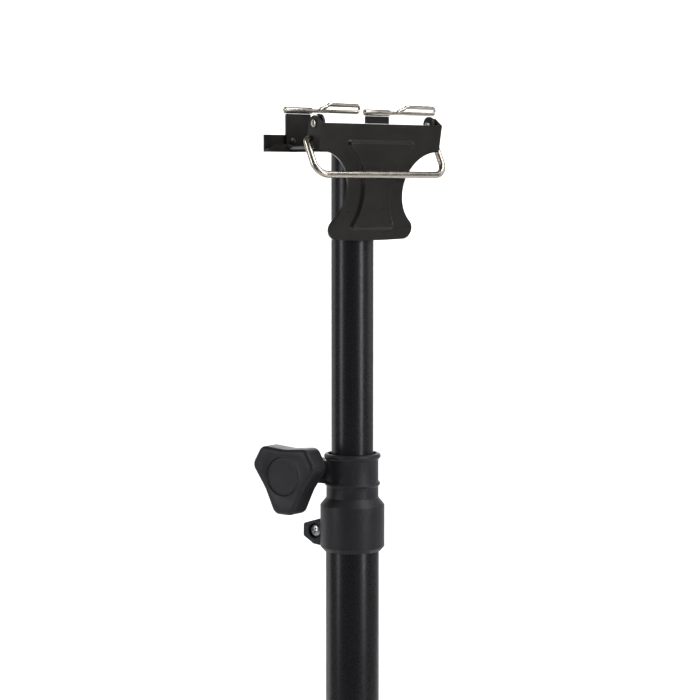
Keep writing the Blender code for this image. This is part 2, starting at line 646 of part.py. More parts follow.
def make_saddle():
    """A channel under the latch, with ears folded forward inside the lever's flanges."""
    bm = bmesh.new()
    x, floor, front, back, top = SADDLE_HALF, SADDLE_FLOOR, SADDLE_FRONT, SADDLE_BACK, SADDLE_TOP
    fill(bm, [(-x, front, floor), (x, front, floor), (x, back, floor), (-x, back, floor)],
         along("z", circle(0, 0, HEAD_HOLE_R, 18), floor))
    fill(bm, [(-x, front, floor), (x, front, floor), (x, front, top), (-x, front, top)])
    ear = arc(PIVOT_Y, PIVOT_Z + EAR_RAISE, EAR_R, 5, 205, 14)
    outline = [(front, top)] + ear + [(SADDLE_TOE, floor), (front, floor)]
    for side in (-1, 1):
        hole = circle(PIVOT_Y, PIVOT_Z, PIN_R + GAP, 14)
        fill(bm, along("x", outline, side * x), along("x", hole, side * x))
    sheet_node("saddle", bm, "black_gloss", (0, front, top - 0.004), (0, -1, 0), SHEET)
    for name, side in (("left", -1), ("right", 1)):
        profile = [(0, 0.0459), (0.0021, 0.0459), (0.0027, 0.0465), (0.0027, 0.0472), (PIN_R, 0.0472),
                   (PIN_R, 0.0533), (PIN_HEAD_R, 0.0533), (PIN_HEAD_R, 0.0537), (0.0020, 0.0541), (0, 0.0541)]
        turned_node("lever_pin_" + name, "nickel", profile, (0, PIVOT_Y, PIVOT_Z), segments=12, lying=True,
                    turn=(0, 0, 0 if side > 0 else math.pi))


def make_rail():
    """The J-shaped rail behind the latch, and the tongue that the head bolt holds it by."""
    bm = bmesh.new()
    x, back, front, base = RAIL_HALF, RAIL_BACK, RAIL_FRONT, RAIL_BASE
    right = [(x, back), (x, front), (LIP_INNER, front), (TONGUE_HALF, front), (TONGUE_HALF, TONGUE_FRONT)]
    floor = right + [(-a, b) for a, b in reversed(right)]
    fill(bm, along("z", floor, base), along("z", circle(0, 0, HEAD_HOLE_R, 18), base))
    holes = [circle(side * (POST_INNER + POST_OUTER) / 2 + step, RIVET_Z, RIVET_R + GAP, 12)
             for side in (-1, 1) for step in (-RIVET_STEP, RIVET_STEP)]
    fill(bm, along("y", [(x, base), (x, RAIL_TOP), (-x, RAIL_TOP), (-x, base)], back),
         *[along("y", hole, back) for hole in holes])
    lip = [(x, base), (LIP_INNER, base), (LIP_INNER + 0.0044, base + LIP_RISE), (x - 0.0060, base + LIP_RISE)]
    for side in (-1, 1):
        fill(bm, along("y", [(side * a, b) for a, b in lip], front))
    sheet_node("rear_rail", bm, "black_gloss", (0, back, RAIL_TOP - 0.003), (0, 1, 0), RAIL_SHEET)


def make_post(name, side):
    """An upright post riveted to the rail, with the barrel and the wire crank that it carries."""
    low, high = sorted((side * POST_INNER, side * POST_OUTER))
    middle = (low + high) / 2
    outline = rounded([(low, POST_LOW), (high, POST_LOW), (high, POST_HIGH), (low, POST_HIGH)],
                      [0.004, 0.004, 0.0006, 0.0006])
    front, back = POST_Y - POST_SHEET / 2, POST_Y + POST_SHEET / 2
    holes = [circle(middle + step, RIVET_Z, RIVET_R + GAP, 12) for step in (-RIVET_STEP, RIVET_STEP)]
    bm = bmesh.new()
    for y in (front, back):
        fill(bm, along("y", outline, y), *[along("y", hole, y) for hole in holes])
    for loop in [outline] + holes:
        skin(bm, [along("y", loop, front), along("y", loop, back)], closed_ends=False)
    bmesh.ops.remove_doubles(bm, verts=bm.verts, dist=1e-7)
    node("post_" + name, bm, "black_gloss")
    for place, step in (("inner", -RIVET_STEP * side), ("outer", RIVET_STEP * side)):
        head = front - GAP
        profile = [(0, head - 0.0007), (0.0018, head - 0.0007), (0.0026, head - 0.0003), (0.0026, head),
                   (RIVET_R, head), (RIVET_R, RAIL_BACK - 0.00005), (0, RAIL_BACK - 0.00005)]
        bm = bmesh.new()
        turned(bm, profile, 10)
        for vert in bm.verts:
            a, b, c = vert.co
            vert.co = (a, c, -b)
        node("post_rivet_%s_%s" % (name, place), bm, "black_gloss", (middle + step, 0, RIVET_Z))

    axis = pivot("crank_pivot_" + name, (middle, POST_Y, CRANK_Z))
    turned_node("barrel_" + name, "nickel",
                ring_profile(CRANK_R + GAP, BARREL_R, -BARREL_HALF, BARREL_HALF, 0.0002),
                parent=axis, segments=14,
                lying=True)
    reach, rise, beside = CRANK_REACH - CRANK_RISE / 2, CRANK_RISE, CRANK_BESIDE
    path = [(-BARREL_HALF - 0.0008, 0, 0), (0, 0, 0), (0.024, 0, 0), (0.038, 0, 0)]
    for k, (a, b) in enumerate(arc(reach, rise / 2, rise / 2, -90, 90, 8)):
        path.append((a, beside * 0.15 * k / 8, b))
    path += [(0.038, beside * 0.6, rise), (0.028, beside, rise), (0.0242, beside, rise - 0.0004),
             (0.0228, beside, rise - 0.0014), (0.0165, beside, 0.0009)]
    bm = bmesh.new()
    swept(bm, path, CRANK_R, 8)
    node("crank_" + name, bm, "nickel", parent=axis)


# ---------------------------------------------------------------- the stand

def finish(name, colour, roughness, metallic):
    material = bpy.data.materials.new(name)
    material.use_nodes = True
    shader = material.node_tree.nodes["Principled BSDF"]
    shader.inputs["Base Color"].default_value = (*colour, 1.0)
    shader.inputs["Roughness"].default_value = roughness
    shader.inputs["Metallic"].default_value = metallic
    return material


FINISHES = {
    "black_paint": finish("black_paint", (0.018, 0.018, 0.020), 0.42, 0.0),
    "black_gloss": finish("black_gloss", (0.016, 0.016, 0.017), 0.28, 0.0),
    "black_nylon": finish("black_nylon", (0.022, 0.022, 0.024), 0.60, 0.0),
    "white_nylon": finish("white_nylon", (0.75, 0.74, 0.70), 0.50, 0.0),
    "nickel": finish("nickel", (0.72, 0.67, 0.60), 0.24, 1.0),
    "zinc": finish("zinc", (0.62, 0.63, 0.64), 0.32, 1.0),
    "rubber": finish("rubber", (0.020, 0.020, 0.021), 0.80, 0.0),
}


def main():
    for item in list(bpy.data.objects):
        bpy.data.objects.remove(item, do_unlink=True)
    make_column()
    make_stop_rings()
    for letter in HUB_HEIGHTS:
        make_leg(letter)
    collar_frame = pivot("collar_frame", (0, 0, RIM_Z), (0, 0, COLLAR_TURN))
    make_collar(collar_frame)
    make_fasteners(collar_frame)
    make_knob(collar_frame)
    make_riser()
    make_lever()
    make_saddle()
    make_rail()
    make_post("left", -1)
    make_post("right", 1)
    bpy.context.view_layer.update()


main()
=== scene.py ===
from math import acos, asin, atan2, cos, degrees, hypot, pi, radians, sin, sqrt, tan, tau

import bmesh
import bpy
from mathutils import Matrix, Vector


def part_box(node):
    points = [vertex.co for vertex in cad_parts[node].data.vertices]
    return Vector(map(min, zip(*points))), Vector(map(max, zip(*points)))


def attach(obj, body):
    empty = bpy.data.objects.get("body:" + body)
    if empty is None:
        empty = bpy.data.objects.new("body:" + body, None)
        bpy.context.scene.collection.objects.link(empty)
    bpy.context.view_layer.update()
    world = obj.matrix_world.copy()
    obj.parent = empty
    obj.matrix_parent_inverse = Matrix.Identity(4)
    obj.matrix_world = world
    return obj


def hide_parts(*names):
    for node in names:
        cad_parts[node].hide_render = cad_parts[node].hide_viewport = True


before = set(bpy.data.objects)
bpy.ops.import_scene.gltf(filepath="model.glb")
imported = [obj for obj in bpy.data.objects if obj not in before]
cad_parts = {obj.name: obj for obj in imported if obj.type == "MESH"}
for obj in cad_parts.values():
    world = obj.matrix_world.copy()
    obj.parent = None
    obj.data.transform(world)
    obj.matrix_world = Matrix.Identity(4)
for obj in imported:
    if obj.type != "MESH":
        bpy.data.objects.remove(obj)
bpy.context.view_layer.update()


def heights(node):
    """The lowest and the highest z of a node of the frame."""
    return [corner.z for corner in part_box(node)]


def shift(x, y, z):
    return Matrix.Translation((x, y, z))


# Places, read from the frame
RIM_Z = heights("collar_body")[1] - 0.0021           # middle of the collar's rim bead
HEAD_Z = heights("post_left")[1] - 0.0087            # top edge of the latch lever
COLUMN_LOW, COLUMN_HIGH = heights("column_tube")
RISER_LOW, RISER_HIGH = heights("riser_tube")
HUB_HEIGHTS = {letter: sum(heights("leg_hub_" + letter)) / 2 for letter in "abc"}

# Sizes of the real parts, in metres
COLUMN_R, RISER_R, LEG_R, TUBE_WALL, GAP = 0.019, 0.015, 0.011, 0.0015, 0.0003
BORE_R = COLUMN_R + GAP
LEG_TURNS = {"a": -90.0, "b": 30.0, "c": 150.0}
LEG_REACH, FOOT_R, SOLE_Z = 0.395, 0.0142, 0.0130
HUB_R, HUB_HALF, SOCKET_R, SOCKET_END, SOCKET_FLOOR, LEG_SCREW_X = 0.0245, 0.015, 0.0138, 0.048, 0.030, 0.040
WELD_R, FOOT_LENGTH, FOOT_OVERLAP = 0.0011, 0.037, 0.033
COLLAR_TURN, SLIT_HALF, LUG_HALF = radians(17.0), 0.0013, 0.0078
CLAMP_Y, CLAMP_Z, LOWER_Y, LOWER_Z = 0.030, -0.0126, 0.0276, -0.0556
CLAMP_LUG_R, CLAMP_BOLT_R, LOWER_SCREW_R, SEAT_R, SEAT_DEPTH = 0.0083, 0.003, 0.0025, 0.0056, 0.0030
KNOB_BACK, KNOB_FRONT, CAP_R = -0.026, -0.043, 0.01345
LOBE_END, LOBE_SIDE, LOBE_CORNER, SIDE_HOLLOW, HOLLOW_R = 0.0273, 0.0207, 0.0066, 0.0017, 0.036
LEVER_LEAN, PIVOT_Y, PIVOT_Z = radians(10.8), -0.0257, HEAD_Z + 0.0010
PIVOT_DEPTH, PIVOT_DROP, LEVER_HALF, BAR_DROP = 0.0089, 0.0017, 0.053, 0.0185
WAIST_X, WAIST_Z, WAIST_R = 0.0522, -0.0468, 0.028
LOBE_X, LOBE_TIP_R, LEVER_LENGTH = 0.0294, 0.0072, 0.0815
PANEL_X, PANEL_Z, PANEL_R = 0.0545, -0.0485, 0.0410
PANEL_TOP, PANEL_BASE, PANEL_CORNER, PANEL_RISE, PANEL_SLOPE = -0.0110, -0.0742, 0.0032, 0.0027, 0.0024
FLANGE_DEPTH, EAR_R, EAR_RAISE, FLANGE_EAR_R, SHEET, RAIL_SHEET = 0.015, 0.0056, 0.0009, 0.0054, 0.002, 0.0016
PIN_R, PIN_HEAD_R, HOLE_GAP, SHEET_EDGE = 0.0021, 0.00275, 0.0002, 0.00042
BAIL_R, BAIL_HALF, BAIL_LENGTH, BAIL_BEND = 0.0024, 0.0568, 0.0269, 0.0095
BAIL_BACK, BAIL_DROP, BAIL_LEAN = 0.0021, 0.0112, radians(-38.2)
SADDLE_HALF, SADDLE_FRONT, SADDLE_FLOOR = 0.0475, -0.0175, HEAD_Z - 0.0159
SADDLE_BACK, SADDLE_TOP, SADDLE_TOE, HEAD_HOLE_R = 0.0110, HEAD_Z - 0.0030, -0.0222, 0.0043
RAIL_HALF, RAIL_BACK, RAIL_FRONT = 0.0632, 0.0192, 0.012
RAIL_BASE, RAIL_TOP = HEAD_Z - 0.0178, HEAD_Z - 0.0058
LIP_INNER, LIP_RISE, TONGUE_HALF, TONGUE_FRONT = 0.0412, 0.0056, 0.0400, -0.0130
POST_INNER, POST_OUTER, POST_Y, POST_SHEET = 0.0247, 0.0458, 0.01645, 0.0017
POST_LOW, POST_HIGH = HEAD_Z - 0.0147, HEAD_Z + 0.0087
RIVET_R, RIVET_Z, RIVET_STEP = 0.0015, HEAD_Z - 0.0103, 0.0055
CRANK_Z, CRANK_R, BARREL_R = HEAD_Z + 0.0112, 0.0014, 0.0023
BARREL_HALF, CRANK_REACH, CRANK_RISE, CRANK_BESIDE = 0.0114, 0.0540, 0.0045, -0.0033

# Where each group of pieces stands
COLLAR = shift(0, 0, RIM_Z) @ Matrix.Rotation(COLLAR_TURN, 4, "Z")
KNOB = COLLAR @ shift(0, CLAMP_Y, CLAMP_Z)
LOWER = COLLAR @ shift(0, LOWER_Y, LOWER_Z)
LEVER = shift(0, PIVOT_Y, PIVOT_Z) @ Matrix.Rotation(LEVER_LEAN, 4, "X")
BAIL = LEVER @ shift(0, BAIL_BACK, -BAIL_DROP) @ Matrix.Rotation(BAIL_LEAN, 4, "X")
HERE = Matrix.Identity(4)

# The camera stands in front, turned towards -X, and a little below the head
CAMERA_TURN = radians(-38.0)
CAMERA_DISTANCE, CAMERA_HEIGHT, CAMERA_PITCH = 1.41, 0.808, radians(4.574)
CAMERA_LENS, CAMERA_SIDE = 102.86, 0.0017
TOWARDS = Vector((sin(CAMERA_TURN), -cos(CAMERA_TURN), 0))    # from the stand to the camera, level
RIGHT = Vector((cos(CAMERA_TURN), sin(CAMERA_TURN), 0))       # to the right, seen from the camera


# ---------------------------------------------------------------- materials

class Nodes:
    """Short calls for building one material's node tree."""

    def __init__(self, name):
        self.material = bpy.data.materials.new(name)
        self.material.use_nodes = True
        self.tree = self.material.node_tree
        self.shader = self.tree.nodes["Principled BSDF"]
        self.place = self.tree.nodes.new("ShaderNodeTexCoord").outputs["Object"]

    def add(self, kind, links=None, **settings):
        item = self.tree.nodes.new(kind)
        for key, value in settings.items():
            setattr(item, key, value)
        for key, value in (links or {}).items():
            if isinstance(value, bpy.types.NodeSocket):
                self.tree.links.new(value, item.inputs[key])
            else:
                item.inputs[key].default_value = value
        return item

    def stretched(self, scale):
        return self.add("ShaderNodeMapping", {"Vector": self.place, "Scale": scale}).outputs[0]

    def noise(self, scale, detail=3.0, rough=0.55, vector=None):
        links = {"Vector": vector or self.place, "Scale": scale, "Detail": detail, "Roughness": rough}
        return self.add("ShaderNodeTexNoise", links).outputs["Fac"]

    def cells(self, scale, vector=None):
        links = {"Vector": vector or self.place, "Scale": scale}
        return self.add("ShaderNodeTexVoronoi", links, feature="F1").outputs["Distance"]

    def ramp(self, value, low, high, start=0.0, end=1.0):
        links = {"Value": value, "From Min": low, "From Max": high, "To Min": start, "To Max": end}
        return self.add("ShaderNodeMapRange", links, interpolation_type="SMOOTHSTEP").outputs[0]

    def math(self, operation, first, second):
        return self.add("ShaderNodeMath", {0: first, 1: second}, operation=operation).outputs[0]

    def mix(self, amount, first, second):
        item = self.add("ShaderNodeMix", {"Factor": amount}, data_type="RGBA")
        for socket, value in ((item.inputs[6], first), (item.inputs[7], second)):
            if isinstance(value, bpy.types.NodeSocket):
                self.tree.links.new(value, socket)
            else:
                socket.default_value = (*value, 1.0)
        return item.outputs[2]

    def bump(self, height, strength, distance, normal=None):
        links = {"Height": height, "Strength": strength, "Distance": distance}
        if normal:
            links["Normal"] = normal
        return self.add("ShaderNodeBump", links).outputs[0]

    def edges(self, low, high):
        """1 on convex edges, from the mesh's own curvature."""
        return self.ramp(self.add("ShaderNodeNewGeometry").outputs["Pointiness"], low, high)

    def up(self):
        """1 where the surface looks up, for settled dust."""
        normal = self.add("ShaderNodeNewGeometry").outputs["Normal"]
        height = self.add("ShaderNodeSeparateXYZ", {0: normal}).outputs[2]
        return self.ramp(height, 0.55, 1.0)

    def set(self, **sockets):
        for key, value in sockets.items():
            socket = self.shader.inputs[key.replace("_", " ")]
            if isinstance(value, bpy.types.NodeSocket):
                self.tree.links.new(value, socket)
            elif hasattr(value, "__len__") and len(value) == 3:
                socket.default_value = (*value, 1.0)
            else:
                socket.default_value = value
        return self.material


def tint(colour, factor):
    return tuple(channel * factor for channel in colour)


def powder_coat(name, colour, roughness):
    """Black powder coat: fine orange peel with small grains, drawn-out slide marks, and convex edges
    lightened as rubbed wear and as a painted highlight.
    """
    n = Nodes(name)
    broad = n.ramp(n.noise(14.0, 4.0), 0.30, 0.70)
    peel = n.noise(1500.0, 2.0, 0.6)
    grain = n.cells(2600.0)
    streaks = n.noise(1.0, 3.0, 0.6, n.stretched((900.0, 900.0, 9.0)))
    # convex edges lightened in colour: partly rubbed paint wear, partly a painted highlight along the edges
    worn_and_highlit_edges = n.math("MULTIPLY", n.edges(0.53, 0.62), n.ramp(n.noise(220.0), 0.40, 0.62))
    paint = n.mix(broad, tint(colour, 0.82), tint(colour, 1.22))
    paint = n.mix(n.math("MULTIPLY", n.ramp(streaks, 0.62, 0.80), 0.30), paint, tint(colour, 2.4))
    dusty = n.math("MULTIPLY", n.up(), n.ramp(n.noise(60.0), 0.45, 0.75, 0.0, 0.35))
    paint = n.mix(dusty, paint, (0.10, 0.098, 0.092))
    paint = n.mix(worn_and_highlit_edges, paint, (0.085, 0.085, 0.088))
    rough = n.math("ADD", n.ramp(peel, 0.3, 0.7, roughness - 0.07, roughness + 0.07),
                   n.ramp(streaks, 0.55, 0.80, 0.0, 0.10))
    normal = n.bump(grain, 0.06, 0.00010, n.bump(peel, 0.14, 0.00014))
    return n.set(Base_Color=paint, Roughness=rough, Normal=normal, Specular_IOR_Level=0.42)


def gloss_paint(name, colour, roughness):
    """Stove enamel on folded sheet: smooth and half glossy, with fine wipe marks and a few specks."""
    n = Nodes(name)
    broad = n.ramp(n.noise(30.0, 4.0), 0.30, 0.70)
    peel = n.noise(520.0, 2.0, 0.5)
    wipes = n.noise(1.0, 3.0, 0.55, n.stretched((60.0, 150.0, 260.0)))
    specks = n.ramp(n.cells(330.0), 0.030, 0.010)
    paint = n.mix(broad, tint(colour, 0.90), tint(colour, 1.12))
    paint = n.mix(n.math("MULTIPLY", specks, 0.10), paint, (0.12, 0.12, 0.11))
    rough = n.math("ADD", n.ramp(wipes, 0.30, 0.75, roughness - 0.03, roughness + 0.04),
                   n.ramp(broad, 0.0, 1.0, 0.0, 0.02))
    normal = n.bump(peel, 0.06, 0.00012)
    return n.set(Base_Color=paint, Roughness=rough, Normal=normal, Specular_IOR_Level=0.5,
                 Coat_Weight=0.2, Coat_Roughness=0.2)


def moulded_nylon(name, colour, roughness, grain, depth):
    """Moulded nylon with a spark-eroded, leather-like grain; grain is its cells per metre."""
    n = Nodes(name)
    broad = n.ramp(n.noise(38.0, 4.0), 0.30, 0.70)
    warped = n.add("ShaderNodeMix", {"Factor": 0.0009}, data_type="VECTOR")
    n.tree.links.new(n.place, warped.inputs[4])
    n.tree.links.new(n.add("ShaderNodeTexNoise", {"Vector": n.place, "Scale": grain * 0.5}).outputs["Color"],
                     warped.inputs[5])
    skin_cells = n.cells(grain, warped.outputs[1])
    fine = n.noise(grain * 2.2, 3.0, 0.6)
    # convex edges and beads lightened in colour: partly rubbed wear, partly a painted highlight along the
    # edges
    worn_and_highlit_edges = n.math("MULTIPLY", n.edges(0.53, 0.63), n.ramp(n.noise(180.0), 0.35, 0.60, 0.2, 1.0))
    plastic = n.mix(broad, tint(colour, 0.85), tint(colour, 1.18))
    plastic = n.mix(n.ramp(skin_cells, 0.15, 0.75, 0.35, 0.0), plastic, tint(colour, 1.7))
    plastic = n.mix(worn_and_highlit_edges, plastic, tint(colour, 3.4))
    dusty = n.math("MULTIPLY", n.up(), n.ramp(n.noise(70.0), 0.42, 0.72, 0.0, 0.07))
    plastic = n.mix(dusty, plastic, (0.12, 0.118, 0.112))
    rough = n.ramp(fine, 0.25, 0.75, roughness - 0.06, roughness + 0.09)
    normal = n.bump(skin_cells, 0.45, depth, n.bump(fine, 0.35, depth * 0.5))
    return n.set(Base_Color=plastic, Roughness=rough, Normal=normal, Specular_IOR_Level=0.42)


def plated_metal(name, colour, dark, roughness, draw, edge):
    """Plated wire or hardware: draw marks along it, thin spots and a little tarnish."""
    n = Nodes(name)
    marks = n.noise(1.0, 3.0, 0.6, n.stretched(draw))
    cloud = n.ramp(n.noise(90.0, 4.0), 0.35, 0.72)
    pits = n.ramp(n.cells(700.0), 0.06, 0.02)
    metal = n.mix(n.math("MULTIPLY", cloud, 0.35), colour, dark)
    metal = n.mix(n.math("MULTIPLY", pits, 0.5), metal, tint(dark, 0.5))
    rough = n.math("ADD", n.ramp(marks, 0.3, 0.75, roughness - 0.03, roughness + 0.05),
                   n.math("MULTIPLY", cloud, 0.05))
    normal = n.bump(marks, 0.004, 0.00004)
    return n.set(Base_Color=metal, Roughness=rough, Normal=normal, Metallic=1.0, Specular_Tint=edge)


def moulded_rubber(name, colour):
    """Dull rubber with a fine grain and paler scuffs."""
    n = Nodes(name)
    broad = n.ramp(n.noise(60.0, 4.0), 0.30, 0.70)
    fine = n.noise(1900.0, 3.0, 0.7)
    scuffs = n.ramp(n.noise(1.0, 4.0, 0.65, n.stretched((420.0, 420.0, 90.0))), 0.56, 0.72)
    gum = n.mix(broad, tint(colour, 0.8), tint(colour, 1.4))
    gum = n.mix(n.math("MULTIPLY", scuffs, 0.45), gum, (0.10, 0.098, 0.094))
    rough = n.ramp(fine, 0.25, 0.75, 0.70, 0.92)
    return n.set(Base_Color=gum, Roughness=rough, Normal=n.bump(fine, 0.5, 0.00022), Specular_IOR_Level=0.35)


LOOKS = {
    "black_paint": powder_coat("black_powder_coat", (0.015, 0.015, 0.018), 0.31),
    "black_gloss": gloss_paint("black_enamel", (0.023, 0.021, 0.019), 0.30),
    "black_nylon": moulded_nylon("black_moulded_nylon", (0.023, 0.023, 0.027), 0.42, 1250.0, 0.00016),
    "white_nylon": moulded_nylon("natural_nylon", (0.62, 0.61, 0.57), 0.45, 2400.0, 0.00005),
    "nickel": plated_metal("nickel_plate", (0.74, 0.69, 0.61), (0.50, 0.45, 0.38), 0.25, (90.0, 500.0, 500.0),
                           (0.34, 0.30, 0.25)),
    "zinc": plated_metal("zinc_plate", (0.64, 0.65, 0.67), (0.42, 0.42, 0.43), 0.30, (500.0, 500.0, 500.0),
                         (0.6, 0.6, 0.6)),
    "rubber": moulded_rubber("foot_rubber", (0.019, 0.019, 0.020)),
}


# ---------------------------------------------------------------- outlines

def arc(x, y, radius, start, end, steps):
    """Points of an arc, its angles in degrees."""
    turns = [radians(start + (end - start) * i / steps) for i in range(steps + 1)]
    return [(x + radius * cos(t), y + radius * sin(t)) for t in turns]


def circle(x, y, radius, steps=40):
    return arc(x, y, radius, 0, 360, steps)[:-1]


def rounded(points, radii, steps=6, closed=True):
    """A 2-D outline with each corner turned into an arc of its radius, 0 for sharp."""
    outline = []
    for i, (x, y) in enumerate(points):
        radius = radii[i] if isinstance(radii, (list, tuple)) else radii
        if radius == 0 or (not closed and i in (0, len(points) - 1)):
            outline.append((x, y))
            continue
        ax, ay = points[i - 1][0] - x, points[i - 1][1] - y
        bx, by = points[(i + 1) % len(points)][0] - x, points[(i + 1) % len(points)][1] - y
        a, b = hypot(ax, ay), hypot(bx, by)
        ax, ay, bx, by = ax / a, ay / a, bx / b, by / b
        half = acos(max(-1.0, min(1.0, ax * bx + ay * by))) / 2
        reach = radius / tan(half)
        mx, my = ax + bx, ay + by
        m = hypot(mx, my)
        cx, cy = x + mx / m * radius / sin(half), y + my / m * radius / sin(half)
        first = atan2(y + ay * reach - cy, x + ax * reach - cx)
        last = atan2(y + by * reach - cy, x + bx * reach - cx)
        turn = (last - first + pi) % tau - pi
        for k in range(steps + 1):
            t = first + turn * k / steps
            outline.append((cx + radius * cos(t), cy + radius * sin(t)))
    return outline


def smooth_path(points, radius, steps=12):
    """An open 3-D path with its inner corners turned into arcs."""
    path = [Vector(points[0])]
    for before, corner, after in zip(points, points[1:], points[2:]):
        corner = Vector(corner)
        a, b = (Vector(before) - corner).normalized(), (Vector(after) - corner).normalized()
        half = a.angle(b) / 2
        reach = radius / tan(half)
        centre = corner + (a + b).normalized() * radius / sin(half)
        first, last = corner + a * reach - centre, corner + b * reach - centre
        turn = pi - 2 * half
        for k in range(steps + 1):
            p = sin(turn * (1 - k / steps)) / sin(turn)
            q = sin(turn * k / steps) / sin(turn)
            path.append(centre + first * p + last * q)
    path.append(Vector(points[-1]))
    return path


def lobed_outline(inset):
    """The knob's three blunt lobes and slightly hollow sides, in its local Y and Z about the bolt."""
    end, side = LOBE_END - inset, LOBE_SIDE - inset
    half = (side - end * 0.5) / sin(radians(60))
    corners, radii = [], []
    for k in range(3):
        turn = radians(-90 + 120 * k)
        for across in (-half, half):
            corners.append((end * cos(turn) - across * sin(turn),
                            end * sin(turn) + across * cos(turn)))
        middle = turn + radians(60)
        hollow = side - SIDE_HOLLOW
        corners.append((hollow * cos(middle), hollow * sin(middle)))
        radii += [LOBE_CORNER - inset, LOBE_CORNER - inset, HOLLOW_R + inset]
    return rounded(corners, radii, 14)


# ---------------------------------------------------------------- meshes

def fill(bm, *loops):
    """One flat face inside the first loop, with the other loops as its holes."""
    edges = []
    for loop in loops:
        verts = [bm.verts.new(point) for point in loop]
        edges += [bm.edges.new((verts[i - 1], verts[i])) for i in range(len(verts))]
    bmesh.ops.triangle_fill(bm, use_beauty=True, use_dissolve=False, edges=edges)


def bridge(bm, low, high):
    """Faces between two rings of vertices."""
    for i in range(len(low)):
        j = (i + 1) % len(low)
        bm.faces.new((low[i], low[j], high[j], high[i]))


def skin(bm, rings, caps=True):
    """Bridges rings of as many points each, and caps the end rings if it is told to."""
    rows = [[bm.verts.new(point) for point in ring] for ring in rings]
    for low, high in zip(rows, rows[1:]):
        bridge(bm, low, high)
    if caps:
        bm.faces.new(rows[0])
        bm.faces.new(rows[-1])
    return rows


def along(axis, outline, value):
    """A 2-D outline as 3-D points in the plane across an axis."""
    if axis == "x":
        return [(value, a, b) for a, b in outline]
    if axis == "y":
        return [(a, value, b) for a, b in outline]
    return [(a, b, value) for a, b in outline]


def turned(bm, profile, segments=96, sweep=360.0, start=0.0):
    """Turns a closed (radius, z) profile about Z; a sweep under 360 leaves a slit, with flat ends."""
    count = segments if sweep == 360 else segments + 1
    rows = []
    for k in range(count):
        t = radians(start + sweep * k / segments)
        rows.append([bm.verts.new((r * cos(t), r * sin(t), z)) for r, z in profile])
    pairs = list(zip(rows, rows[1:])) + ([(rows[-1], rows[0])] if sweep == 360 else [])
    for first, second in pairs:
        for i in range(len(profile)):
            j = (i + 1) % len(profile)
            bm.faces.new((first[i], second[i], second[j], first[j]))
    if sweep != 360:
        bm.faces.new(rows[0])
        bm.faces.new(rows[-1])
    bmesh.ops.remove_doubles(bm, verts=bm.verts, dist=1e-7)


def swept(bm, path, radius, sides, inner=0.0, round_ends=0.0):
    """A round bar, or a tube with open ends, along a path that lies in one plane."""
    path = [Vector(point) for point in path]
    normal = Vector((0, 0, 0))
    for a, b in zip(path[1:], path[2:]):
        cross = (a - path[0]).cross(b - path[0])
        if cross.length > normal.length:
            normal = cross
    normal.normalize()
    turns = [tau * (k + 0.5) / sides for k in range(sides)]

    def ring(here, ahead, size):
        side = ahead.cross(normal)
        return [here + size * (cos(t) * side + sin(t) * normal) for t in turns]

    ways = [(path[min(i + 1, len(path) - 1)] - path[max(i - 1, 0)]).normalized() for i in range(len(path))]
    rings = [ring(here, ahead, radius) for here, ahead in zip(path, ways)]
    if inner:
        inside = [ring(here, ahead, inner) for here, ahead in zip(path, ways)]
        skin(bm, rings + inside[::-1] + rings[:1], False)
        bmesh.ops.remove_doubles(bm, verts=bm.verts, dist=1e-7)
        return
    if round_ends:
        for at, step in ((0, 1), (len(path) - 1, -1)):
            caps = []
            for angle in (12, 32, 52, 72):
                t = radians(angle)
                here = path[at] + ways[at] * step * round_ends * (1 - cos(pi / 2 - t))
                caps.append(ring(here, ways[at], radius - round_ends * (1 - cos(t))))
            if at == 0:
                rings = caps[::-1] + rings[1:]
            else:
                rings = rings[:-1] + caps
    skin(bm, rings)


def lying(bm):
    """Lays a solid turned about Z down along X."""
    for vert in bm.verts:
        x, y, z = vert.co
        vert.co = (z, y, -x)


def item_from(name, bm):
    """Puts a mesh into the scene as an object."""
    mesh = bpy.data.meshes.new(name)
    bm.to_mesh(mesh)
    bm.free()
    item = bpy.data.objects.new(name, mesh)
    bpy.context.scene.collection.objects.link(item)
    return item


def piece(name, bm, slot, body, replaces=(), place=HERE, bevel=0.0, sharp=32.0, sheet=None):
    """Finishes a mesh as a visible piece: shading, edges, material, body and the CAD nodes it stands for.

    A sheet is a thickness, a point near one of the mesh's faces and the way that this face looks; the metal
    lies behind it.
    """
    if sheet:
        thickness, probe, wanted = sheet
        bmesh.ops.remove_doubles(bm, verts=bm.verts, dist=1e-6)
        bmesh.ops.recalc_face_normals(bm, faces=bm.faces)
        across = [face for face in bm.faces if abs(face.normal.dot(Vector(wanted))) > 0.9]
        nearest = min(across, key=lambda face: (face.calc_center_median() - Vector(probe)).length)
        if nearest.normal.dot(Vector(wanted)) < 0:
            bmesh.ops.reverse_faces(bm, faces=bm.faces)
    else:
        bmesh.ops.recalc_face_normals(bm, faces=bm.faces)
    bm.transform(place)
    item = item_from(name, bm)
    item.data.materials.append(LOOKS[slot])
    item.data.shade_smooth()
    if sheet:
        fold = item.modifiers.new("sheet", "SOLIDIFY")
        fold.thickness = thickness
        fold.offset = -1.0
        fold.use_even_offset = True
    if bevel:
        edge = item.modifiers.new("edges", "BEVEL")
        edge.width = bevel
        edge.segments = 3
        edge.limit_method = "ANGLE"
        edge.angle_limit = radians(30)
        edge.use_clamp_overlap = True
        edge.harden_normals = False
        weight = item.modifiers.new("normals", "WEIGHTED_NORMAL")
        weight.keep_sharp = True
        weight.weight = 80
    else:
        item.data.set_sharp_from_angle(angle=radians(sharp))
    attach(item, body)
    if replaces:
        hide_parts(*([replaces] if isinstance(replaces, str) else replaces))
    return item


def turned_piece(name, slot, body, profile, replaces=(), place=HERE, segments=96, lie=False):
    bm = bmesh.new()
    turned(bm, profile, segments)
    if lie:
        lying(bm)
    return piece(name, bm, slot, body, replaces, place)


